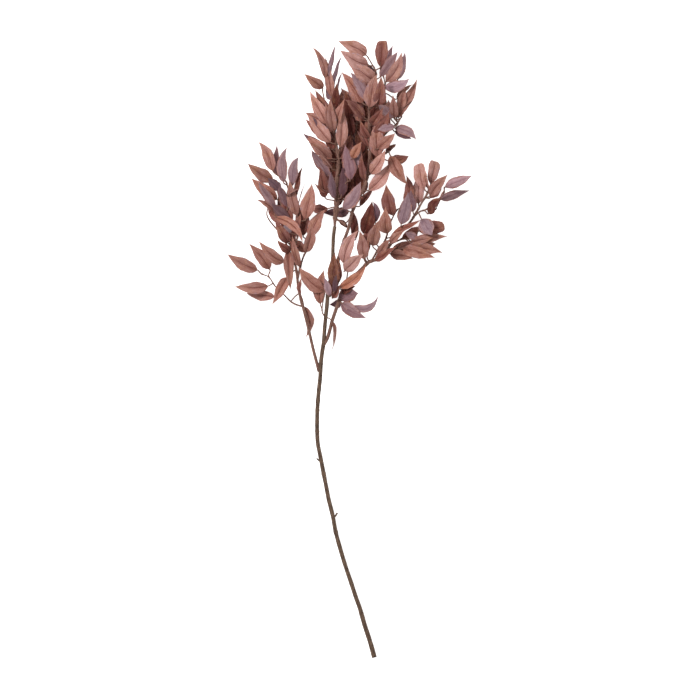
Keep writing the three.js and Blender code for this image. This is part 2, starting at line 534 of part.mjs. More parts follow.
// What seeded draws give a leaf of its own
function ownShape(draw, size, wide, curl, hook) {
  return {
    length: leafLength * size * around(draw, 1, lengthSpread),
    width: leafWidth * wide * Math.sqrt(size) * around(draw, 1, widthSpread),
    arch: curl + around(draw, archMiddle, archSpread),
    bow: hook + around(draw, 0, bowSpread),
    fold: THREE.MathUtils.degToRad(around(draw, foldMiddle, foldSpread)),
    turnBy: around(draw, 0, turnSpread),
  };
}

function nearest(points, target) {
  return points.reduce((best, p) => (p.distanceTo(target) < best.distanceTo(target) ? p : best));
}

// The leaves of a spray. A leaf keeps its own length: where its drawn length is shorter it leans up out of
// the layout if it sits above its shoot, and down if below.
function laidLeaves(spray, shootPoints) {
  const draw = drawsFrom(spray.seed);
  return spray.leaves.map(([x, y, tipX, tipY, z, turn, size = 1, wide = 1, curl = 0, hook = 0]) => {
    const own = ownShape(draw, size, wide, curl, hook);
    const base = place([x, y, z]);
    const drawn = Math.hypot(tipX - x, tipY - y) * square;
    const lean = Math.sqrt(Math.max(own.length ** 2 - drawn ** 2, 0));
    const up = z >= nearest(shootPoints, base).z;
    const tip = place([tipX, tipY, up ? z + lean : Math.max(z - lean, 0)]);
    const axis = tip.clone().sub(base).normalize();
    const root = nearest(shootPoints, base.clone().addScaledVector(axis, -stalkReach));
    return { ...own, root, base, tip, turn: THREE.MathUtils.degToRad(turn + own.turnBy) };
  });
}

// A leafy branch or leader: its shoots and all its leaves in one solid
function spraySolid(spray) {
  const shootPoints = spray.shoots.flatMap((shoot) => spanPoints(shoot.path, rootSteps));
  const leaves = laidLeaves(spray, shootPoints.slice(buriedSteps));
  const wood = spray.shoots.map((shoot, i) => shootSolid(shoot, i === 0 ? leaderSides : twigSides));
  return wasm.Manifold.union([...wood, ...leaves.map(leafSolid)]);
}

// A solid with its vertices rounded, those that then coincide made one and flattened triangles dropped.
// Where that pinches it, the grid that x and y are rounded to is moved a little and it is tried again.
function rounded(solid, offset = 0) {
  const { vertProperties, triVerts } = solid.getMesh();
  const offsets = [offset, offset, 0];
  const steps = Array.from(vertProperties, (value, i) => Math.round((value + offsets[i % 3]) / roundTo));
  const numbers = new Map();
  const vertexOf = (i) => {
    const key = steps.slice(3 * i, 3 * i + 3).join();
    if (!numbers.has(key)) numbers.set(key, numbers.size);
    return numbers.get(key);
  };
  const triangles = [];
  for (let i = 0; i < triVerts.length; i += 3) {
    const corners = [vertexOf(triVerts[i]), vertexOf(triVerts[i + 1]), vertexOf(triVerts[i + 2])];
    if (new Set(corners).size === 3) triangles.push(...corners);
  }
  const places = Array.from(numbers.keys()).flatMap((key) =>
    key.split(",").map((step, axis) => step * roundTo - offsets[axis]));
  const made = new wasm.Manifold(new wasm.Mesh({
    numProp: 3,
    vertProperties: Float32Array.from(places),
    triVerts: Uint32Array.from(triangles),
  }));
  const pinched = made.numVert() !== numbers.size;
  return pinched && offset < roundTo ? rounded(solid, offset + gridMove) : made;
}

// The largest body of a solid, without slivers, as a three.js mesh
function meshOf(solid, name, material) {
  const bodies = solid.decompose().sort((a, b) => b.volume() - a.volume());
  const { vertProperties, triVerts } = rounded(bodies[0].asOriginal().simplify(shortestEdge)).getMesh();
  const geometry = new THREE.BufferGeometry();
  geometry.setAttribute("position", new THREE.BufferAttribute(vertProperties, 3));
  geometry.setIndex(new THREE.BufferAttribute(triVerts, 1));
  const mesh = new THREE.Mesh(geometry, material);
  mesh.name = name;
  return mesh;
}

const bark = new THREE.MeshStandardMaterial({ color: 0x6b5443, roughness: 0.85, metalness: 0 });
const leafRose = new THREE.MeshStandardMaterial({ color: 0xa87468, roughness: 0.8, metalness: 0 });

const stem = new THREE.Group();
const bareStem = wasm.Manifold.union([stemSolid(0), ...stubs.map((stub) => shootSolid(stub, leaderSides))]);
stem.add(meshOf(bareStem, "main_stem", bark));

const sprays = { left_branch: leftBranch, right_branch: rightBranch, left_leader: leftLeader,
  right_leader: rightLeader, left_sprig: leftSprig, hanging_leaf: hangingLeaf };
const stemSeat = stemSolid(seatGap);
Object.entries(sprays).forEach(([name, spray]) => {
  const solid = spraySolid(spray);
  const seated = name === "left_leader" ? solid : solid.subtract(stemSeat);
  stem.add(meshOf(seated, name, leafRose));
});

// The origin is under the middle of the whole stem, on the surface it lies on
const box = new THREE.Box3().setFromObject(stem);
const middle = box.getCenter(new THREE.Vector3());
stem.position.set(-middle.x, -middle.y, -box.min.z);

export default stem;
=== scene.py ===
# A dried willow stem lying on a pale table, seen from straight above as in the photograph.
# Metres, +Z up. The layout is in squares of a grid, x to the right and y down, as in the part's own source.
import bpy
import numpy as np
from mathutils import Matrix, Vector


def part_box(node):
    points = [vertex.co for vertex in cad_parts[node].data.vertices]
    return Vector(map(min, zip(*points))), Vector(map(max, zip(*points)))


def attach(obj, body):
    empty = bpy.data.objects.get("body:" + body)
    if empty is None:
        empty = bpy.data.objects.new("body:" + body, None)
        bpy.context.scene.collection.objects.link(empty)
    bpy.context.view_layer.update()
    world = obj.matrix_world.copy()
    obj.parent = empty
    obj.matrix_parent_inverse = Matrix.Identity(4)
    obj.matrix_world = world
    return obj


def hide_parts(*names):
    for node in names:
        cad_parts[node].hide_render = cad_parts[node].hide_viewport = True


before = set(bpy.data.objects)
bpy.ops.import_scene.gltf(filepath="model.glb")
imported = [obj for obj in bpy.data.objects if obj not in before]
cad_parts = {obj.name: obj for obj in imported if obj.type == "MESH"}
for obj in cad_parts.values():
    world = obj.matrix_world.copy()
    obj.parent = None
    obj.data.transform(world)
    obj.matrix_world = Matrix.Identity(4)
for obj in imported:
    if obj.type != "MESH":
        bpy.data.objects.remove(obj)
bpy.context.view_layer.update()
print("frame loaded with", len(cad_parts), "nodes")

millimetre = 0.001
layout = {
    "stemLength": 1.1,  # cut end to the topmost leaf
    "squaresLong": 618,  # squares of the grid that this length takes
    "origin": (337, 658),
    "photoMiddle": (350, 350),
    "photoSquares": 700,
}
square = layout["stemLength"] / layout["squaresLong"]

# The bare stem. A path point is x and y in squares and the height in millimetres, radii are in
# millimetres from the cut end up, and a ring is the y of a low swelling where a leaf has fallen.
mainStem = {
    "path": [(374.4, 657.9, 4.3), (370, 642, 5), (364.9, 626.3, 6), (361.6, 614.8, 7), (359.2, 606.8, 7.5),
             (355.9, 597.6, 8), (350.8, 582, 9), (345.9, 567.7, 10), (340.4, 549.5, 11.5),
             (335.6, 532.1, 13), (332.9, 517, 14), (328.7, 500, 15.5), (327.2, 492.4, 16),
             (323.7, 474, 17.5), (320.6, 458, 19), (317.9, 444, 20.5), (317.2, 431.2, 21.5),
             (317.1, 421, 22.5), (317.3, 410.3, 23.5), (317.9, 400.6, 24.5), (318.9, 389.4, 25.5),
             (320.1, 378, 26.5), (320.8, 364, 28), (321.9, 354.5, 29), (323.6, 343, 30),
             (324.6, 329, 31.5), (325.8, 316, 33), (327, 305, 34.5), (328.2, 290, 36),
             (330.9, 275.9, 37.5), (332.5, 261, 39), (333, 247, 40.5), (333.6, 236, 42),
             (334.9, 226.3, 43)],
    "radius": [4.3, 3.8, 3.75, 3.7, 3.7, 3.4, 2.9],
    "rings": [532.1, 474, 431.2, 410.3, 400.6, 389.4, 364],
    "ringHeight": 0.5,
    "ringWidth": 1.3,  # squares
    "steps": 8,  # to a span of the path
    "sides": 24,
    "ridges": 9,  # low ridges of bark round the stem
    "ridgeHeight": 0.035,  # over the radius
    "ridgeLean": 3,  # how far they wander to and fro, in radians of their sine
    "ridgeSwing": 35,  # millimetres of stem to a radian of that wandering
    "knobbles": 0.03,  # over the radius
    "knobbleWaves": (7.1, 19.3, 3.1),  # millimetres of stem to a radian of each sine
    "stubSteps": 4,
    "stubSides": 12,
}
stubs = [
    {"path": [(333.2, 518.5, 14), (335.3, 516.2, 14.5), (337.4, 513, 15)], "radius": [1.7, 1.5]},
    {"path": [(321, 462, 18.5), (318.6, 460.4, 19), (316.5, 458.4, 19.5)], "radius": [1.5, 1.3]},
]

# Leafy shoots. A leaf is its tone, x and y of its base, x and y of its tip, the height of its base in
# millimetres, the degrees it is turned about its own length (0 shows its upper side, 180 its underside,
# 90 its edge), then its size, its width and how strongly it curls and bows where these differ.
leftBranch = {
    "seed": 11,
    "shoots": [
        {  # branch
            "radius": [3, 1.6],
            "path": [(319, 371.5, 27), (316, 360, 27), (312.9, 348, 27), (308.7, 329.7, 27),
                     (303, 306.8, 28), (299.5, 293, 29), (298, 285, 30), (297, 275, 31), (296, 268, 32),
                     (293, 256, 34), (290.5, 244, 36), (288, 232, 38), (285, 218, 39), (281, 203, 40),
                     (278, 191, 40)],
        },
        {  # low, from the branch
            "radius": [1.6, 1],
            "path": [(302.7, 306.5, 28), (296, 304.5, 29), (290.5, 301.3, 30), (283.8, 294.6, 32),
                     (275.4, 286.6, 32), (269.1, 277.3, 31), (262.5, 274.3, 30)],
        },
        {  # strut, from the branch
            "radius": [1.1, 1],
            "path": [(299, 293.3, 29), (295, 296.5, 30), (291, 301, 30)],
        },
        {  # right, from the branch
            "radius": [1.8, 1.1],
            "path": [(297.7, 279, 31), (300.5, 266, 36), (303.5, 256.5, 40), (306, 251, 43),
                     (309.5, 240, 46), (312, 229, 48)],
        },
        {  # left, from the branch
            "radius": [1.7, 1],
            "path": [(295, 265, 33), (289, 250, 34), (282, 236, 32), (275, 227.2, 30), (271, 222.5, 29),
                     (267.5, 217, 29), (266.8, 212.5, 30), (268, 207.5, 31)],
        },
        {  # middle, from the branch
            "radius": [1.7, 1],
            "path": [(293, 256, 34), (296, 243, 44), (299, 230, 48), (300, 217, 50), (299, 206, 50)],
        },
        {  # top, from the branch
            "radius": [1.6, 1],
            "path": [(285, 218, 39), (288, 206, 44), (289, 194, 46), (287, 184, 46)],
        },
    ],
    "leaves": [
        ("mid", 272.6, 170.8, 258.2, 141.8, 44, 0, 1, 1.05, 0, -0.05),
        ("mid", 273, 180.5, 247.5, 163.3, 50, 0, 1, 1.1, 0, 0.07),
        ("mid", 277, 199.5, 251.2, 178, 42, 5, 1, 1.1),
        ("heather", 275, 208, 258.5, 181.5, 56, 180, 1, 0.8),
        ("mid", 275, 211, 255.5, 199.3, 34, 30, 0.75, 0.8, 0, -0.1),
        ("mauve", 279.5, 176.5, 276.7, 144.6, 34, 150, 1, 0.8),
        ("heather", 283.5, 182, 287.3, 147, 50, 180, 1, 0.95, 0, -0.08),
        ("heather", 292, 186, 299, 157.2, 46, 185, 1, 0.8, 0, -0.05),
        ("deep", 296, 200, 303, 166, 48, 62, 1, 0.75),
        ("pale", 298.5, 204.5, 304.6, 184, 46, 88, 0.8, 0.5),
        ("mid", 297, 215.5, 289.5, 180, 56, 5, 1, 0.9, 0, 0.06),
        ("lilac", 288.5, 195.5, 300, 189, 62, 80, 0.45, 0.8),
        ("mauve", 281, 190.5, 268, 178, 44, 185, 0.7),
        ("mauve", 288, 207, 279.5, 185, 48, 170, 0.85),
        ("mauve", 290, 219.5, 272, 203.5, 46, 170, 0.9),
        ("mid", 276, 217.5, 302.5, 242.5, 58, 5, 1.05, 0.85, 0, 0.15),
        ("brown", 288, 243, 275, 220, 44, 5, 0.85),
        ("pale", 291, 233, 284, 224, 50, 180, 0.42, 1.1),
        ("brown", 290, 252, 277.2, 240, 36, 10, 0.65, 0.9),
        ("mid", 287.8, 250, 290.3, 290, 35, 15, 1, 0.85),
        ("mid", 287.8, 277.5, 272.4, 304, 36, 0, 1, 1.05),
        ("mid", 284, 262, 258.8, 241.2, 38, 0, 1, 1.1, 0, 0.08),
        ("mid", 269.6, 269.3, 248.9, 243.5, 32, 5, 1, 1.1, 0, -0.04),
        ("mid", 257.3, 270, 227.2, 254, 26, 0, 1, 1.1, 0, 0.05),
        ("mid", 268, 286, 234.3, 286.5, 34, 0, 1, 1.05, 0, 0.04),
        ("mid", 274.5, 296.5, 246, 293, 28, 0, 1, 0.9, 0, 0.04),
        ("mid", 306, 252, 311, 222, 50, -5),
        ("mauve", 306, 252, 292, 240, 40, 0, 0.65),
        ("mid", 309, 237, 325.5, 209.5, 50, 0, 0.95, 1.1),
        ("mid", 306, 218.8, 311.8, 184, 62, 0, 1, 1.2),
        ("mid", 299.3, 266.5, 292.3, 236, 44, 15, 1, 0.75),
        ("brown", 297, 262, 289.5, 240, 48, -20, 0.75, 0.7),
        ("brown", 300.3, 294, 301.5, 277.5, 34, 60, 0.5),
        ("mid", 303.8, 306.5, 305.3, 337.5, 20, 20, 1, 0.75, 0, 0.1),
        ("brown", 303, 236, 303, 205, 46, 0),
        ("brown", 299, 226, 307, 200, 42, 10, 0.85),
        ("brown", 282, 221, 296, 244, 34, 0, 0.9),
        ("brown", 293, 238, 301, 214, 38, 10, 0.85),
        ("brown", 286, 224, 268, 208, 32, 0, 0.8),
        ("brown", 291, 222, 281, 196, 38, 0, 0.8, 1.1),
        ("shadedDusk", 284, 215, 278, 192, 34, 0, 0.72, 0.9),
    ],
}

rightBranch = {
    "seed": 23,
    "shoots": [
        {  # branch
            "radius": [3.2, 2.8, 1.5],
            "path": [(323.7, 345, 30), (327.4, 338.1, 30), (329.7, 330.5, 30), (332, 321.3, 30),
                     (335.1, 312.1, 30), (338.5, 302.2, 30), (342, 292.2, 31), (349, 282, 32),
                     (357, 273.5, 33), (364, 266.5, 34), (369, 262, 35), (376, 259.5, 36),
                     (384, 253, 36), (391, 244, 37), (398, 235, 38), (405, 228, 39), (411, 221, 40),
                     (416, 213, 41), (421, 204, 42), (427, 194, 43), (431, 185, 44)],
        },
        {  # foot, from the branch
            "radius": [1.5, 1],
            "path": [(339, 300.5, 30), (345, 300.5, 34), (350.3, 302.3, 37)],
        },
        {  # lower, from the branch
            "radius": [1.6, 1],
            "path": [(344, 288.5, 31), (346.5, 280, 37), (347.8, 271.5, 42)],
        },
        {  # side, from the branch
            "radius": [1.7, 1],
            "path": [(371.5, 260.8, 35), (378, 250, 40), (385.3, 240, 42), (388, 230, 44),
                     (391.5, 220, 46), (397, 210, 46)],
        },
        {  # spray, from the branch
            "radius": [1.5, 1],
            "path": [(391, 244, 37), (399.5, 240, 34), (408, 238, 30), (415, 236.5, 28)],
        },
        {  # bottom, from the branch
            "radius": [1.5, 1],
            "path": [(384, 253, 36), (393, 250.5, 31), (401, 248.5, 27), (408, 247.5, 24)],
        },
        {  # outer, from the branch
            "radius": [1.6, 1],
            "path": [(414, 216.5, 40.5), (420, 211.5, 38), (427, 209, 36), (437, 201, 32),
                     (444, 192.5, 29)],
        },
    ],
    "leaves": [
        ("rose", 343.8, 263.5, 358.5, 230.5, 58, 0, 1, 1.15, 0, 0.09),
        ("rose", 344.5, 271, 363.5, 254.5, 62, 0, 0.8, 1.2),
        ("mid", 364, 259, 359.5, 231, 46, 0, 0.9),
        ("brown", 365, 258, 367.3, 223.5, 42, 5, 1, 0.95),
        ("mid", 372.8, 245.8, 380, 219.5, 50, 0, 1, 1.1, 0, 0.06),
        ("brown", 367, 256.5, 370, 235.5, 40, 45, 0.7, 0.8),
        ("brown", 393, 215.5, 386, 184.5, 52, 20, 1, 1.35),
        ("mid", 387.5, 233.5, 385.5, 207, 44, 0, 0.9, 1.15, 0, 0.08),
        ("heather", 401, 224.5, 408, 192, 58, 180, 1, 1.1),
        ("brown", 405, 206, 406.3, 175.2, 42, 15, 1, 0.9, 0, -0.12),
        ("mauve", 413, 212, 411, 190, 50, 180, 0.7, 1.1),
        ("rose", 418.5, 203.8, 418.5, 173, 38, 0, 0.9, 1.15),
        ("rose", 424.5, 189, 418.2, 162.8, 50, 0, 0.85, 1.2, 0.28),
        ("mid", 428, 188.5, 425, 172.5, 46, 40, 0.6, 0.8),
        ("rose", 430.6, 184, 435.4, 160, 43, -5, 0.8, 1.15, 0.34),
        ("mid", 430, 196, 447.5, 174.8, 50, 0, 1, 0.9),
        ("brown", 430, 198, 442, 188.5, 42, 15, 0.6, 0.9),
        ("lilac", 444.8, 187, 472, 175.6, 30, 180, 1, 0.9, 0, -0.02),
        ("lilac", 440.8, 199.5, 469.7, 190.2, 26, 185, 1, 0.85, 0, -0.01),
        ("deep", 428.5, 213.5, 441, 197.5, 44, 25, 0.65, 1.2),
        ("brown", 391, 237, 421.5, 219.5, 48, 30, 1, 0.65),
        ("mid", 390, 243, 404, 231, 44, 10, 0.6, 0.9),
        ("heather", 421.5, 219, 432, 235.5, 54, 180, 0.6, 1.6),
        ("brown", 419, 231, 445.8, 227.8, 34, 0, 0.8, 1.25, 0.26, 0.04),
        ("mid", 414, 240, 447.3, 236.6, 30, 5, 1, 0.85),
        ("heather", 418, 238, 405, 232, 42, 170, 0.5),
        ("mid", 407, 247, 442.7, 252.8, 34, 0, 1, 1.05, 0, 0.06),
        ("mid", 411, 242.5, 433, 237.5, 36, -10, 0.72, 0.9),
        ("mid", 403, 248.5, 435, 257.8, 28, 0, 1, 1.05),
        ("mid", 390, 253.5, 413, 258.8, 30, 0, 0.7, 1.15),
        ("brown", 375, 260, 396, 247, 42, 15, 0.8, 1, 0, -0.08),
        ("mid", 378, 256, 390.5, 239, 38, 0, 0.75, 0.8),
        ("orange", 338.9, 287.2, 366.3, 264, 57, 0, 1, 0.85, 0, -0.13),
        ("deep", 342, 293, 355.6, 286.4, 42, 20, 0.55, 0.9),
        ("mauve", 339, 298, 358.3, 293.3, 40, 180, 0.7, 1.6),
        ("heather", 351.5, 305.5, 378.4, 295.8, 40, 180, 1, 0.7, 0, 0.28),
        ("mauve", 341, 302.5, 366, 318, 34, 180, 1, 0.95, 0, 0.07),
        ("shadedDusk", 341, 303.5, 329.5, 304.5, 24, 180, 0.5),
        ("brown", 402, 238, 421, 226, 32, 0, 0.75),
        ("mid", 392, 250, 413, 243, 30, 0, 0.8, 0.9),
        ("mid", 396, 253, 420, 240.5, 26, 0, 0.8, 1.1),
        ("brown", 413, 243.5, 436, 243.5, 27, 0, 0.75),
        ("heather", 342, 303, 361, 312.5, 42, 180, 0.65, 0.9),
        ("deep", 364.3, 234, 372.3, 201, 44, -15, 1, 1.15, 0, 0.04),
        ("mauve", 375.2, 222.5, 373, 202, 52, 165, 0.6, 0.85, 0, 0.14),
        ("mauve", 436.5, 208.5, 445.5, 187.5, 54, 70, 0.65, 0.6),
    ],
}

leftLeader = {
    "seed": 45,
    "shoots": [
        {  # leader
            "radius": [2, 4.3, 3.7, 3, 2.7, 2.4, 2],
            "path": [(334.9, 226, 43), (335, 218, 44), (336.3, 209, 45), (336.9, 198, 47),
                     (337.9, 190, 49), (336.9, 178, 51), (338, 171, 52), (338.5, 161, 54),
                     (337.4, 153.6, 55), (336.2, 143.4, 56), (334.9, 134.7, 57)],
        },
        {  # crown, from the leader
            "radius": [1.8, 1],
            "path": [(335.5, 138, 57), (331, 122, 59), (326.5, 108, 59), (323.5, 96, 58),
                     (322.3, 89, 57)],
        },
        {  # middle, from the leader
            "radius": [1.8, 1],
            "path": [(335, 137, 57), (334.3, 120, 52), (333, 105, 50), (331.3, 92, 52), (330, 80, 54)],
        },
        {  # right, from the leader
            "radius": [1.7, 1],
            "path": [(338, 157, 54), (340, 147, 60), (340.5, 136, 62), (339, 127, 60)],
        },
        {  # front, from the leader
            "radius": [1.5, 1],
            "path": [(337.5, 188, 49), (342.5, 186, 60), (347, 182, 64)],
        },
        {  # tab, from the leader
            "radius": [1.7, 2.2],
            "path": [(335, 219, 44), (341.5, 221.8, 46), (346.5, 225.6, 48)],
        },
    ],
    "leaves": [
        ("mid", 324.8, 78, 312.3, 47, 60, 25, 1, 0.7, 0, -0.14),
        ("mid", 331.5, 97, 325.5, 57, 58, 20, 1, 0.75),
        ("lilac", 330, 78, 335.8, 44, 62, 120, 1, 0.65),
        ("lilac", 333.5, 90, 342.2, 54.2, 60, 122, 1, 0.7),
        ("mid", 322.7, 88, 304, 74, 60, 5, 0.8, 1.15),
        ("mauve", 331, 100, 326.5, 80, 50, 180, 0.75, 0.9),
        ("deep", 334.5, 108, 337, 83, 52, 10, 0.8, 0.8),
        ("mauve", 337.5, 96, 342.3, 71.5, 46, 95, 0.8, 0.6),
        ("mid", 336, 129, 344.8, 99, 62, 20, 1, 0.8),
        ("mid", 334, 131.5, 330.5, 98, 68, 0, 1, 0.85),
        ("mid", 333, 133, 325.5, 104, 60, -20, 1, 0.85),
        ("rose", 339.8, 147.2, 343.8, 108, 70, -10, 1, 1.1),
        ("rose", 327, 124, 310, 91.5, 68, 0, 1, 1.1),
        ("brown", 328, 119, 315, 90, 60, -15, 0.93, 0.9),
        ("mid", 325, 124, 305.3, 112.5, 56, 25, 0.7, 0.9, 0, -0.08),
        ("rose", 330.3, 142.3, 307.3, 115.2, 70, 0, 1, 1.1),
        ("brown", 327, 139, 305.5, 119, 56, 10, 0.86, 0.9),
        ("mauve", 333, 138, 312, 116.8, 62, 150, 1, 0.6),
        ("mid", 331.5, 158.5, 306, 135.3, 66, 0, 1, 1.08),
        ("mauve", 326, 149, 302.8, 133.2, 58, 165, 0.85, 0.7),
        ("mid", 330.5, 161, 309, 143, 60, -10),
        ("heather", 329.5, 176.5, 311.5, 150, 58, 180, 1, 0.85),
        ("mid", 331.5, 168.5, 320, 154, 55, 60, 0.8, 0.8),
        ("brown", 325.2, 197.5, 319.3, 166.5, 50, -15, 1, 0.95),
        ("brown", 330, 193, 314.5, 183.2, 56, 65, 0.6, 0.9),
        ("mauve", 335, 199, 331, 172, 60, 170, 1, 0.8),
        ("shadedDusk", 341, 197, 342.5, 166, 60, 190, 1, 0.85),
        ("mauve", 350, 180, 345, 144.5, 76, 180, 1, 1.1),
        ("heather", 347.5, 177, 361.5, 142.3, 68, 200, 1, 0.95),
        ("heather", 342.5, 208.7, 360.9, 182, 72, 180, 1, 1.1, 0, 0.05),
        ("shadedDusk", 349, 211, 321, 212.5, 30, 185, 1, 0.9),
        ("brown", 328, 208.5, 311, 209.5, 36, 0, 0.8),
        ("deep", 341, 166, 345, 147, 48, 20, 0.8, 0.9),
        ("brown", 342, 162, 353, 132, 50, 0, 0.92),
        ("deep", 342, 180, 351, 152, 46, 10, 0.9, 0.9),
        ("deep", 344, 199, 355, 171, 46, 0, 0.9),
        ("brown", 333, 176, 324, 148, 42, 0, 0.9),
        ("deep", 334, 190, 327, 163, 40, 10, 0.85),
        ("brown", 338.5, 122, 341.5, 91, 50, 0, 0.95, 0.9),
        ("deep", 336, 166, 328, 142, 46, 0, 0.75, 0.9),
        ("brown", 333, 150, 322, 120, 54, 0, 0.9),
        ("deep", 338, 190, 333.5, 164, 46, 0, 0.8),
        ("orange", 352.5, 158.5, 361.3, 142, 74, 0, 0.52),
        ("deep", 338, 206, 341.5, 181, 34, 0, 0.75, 0.9),
        ("deep", 338.5, 220.3, 348.5, 228.3, 42, 20, 0.38, 0.75),
        ("deep", 338, 172, 334.5, 142, 44, 0, 0.85, 0.9),
    ],
}

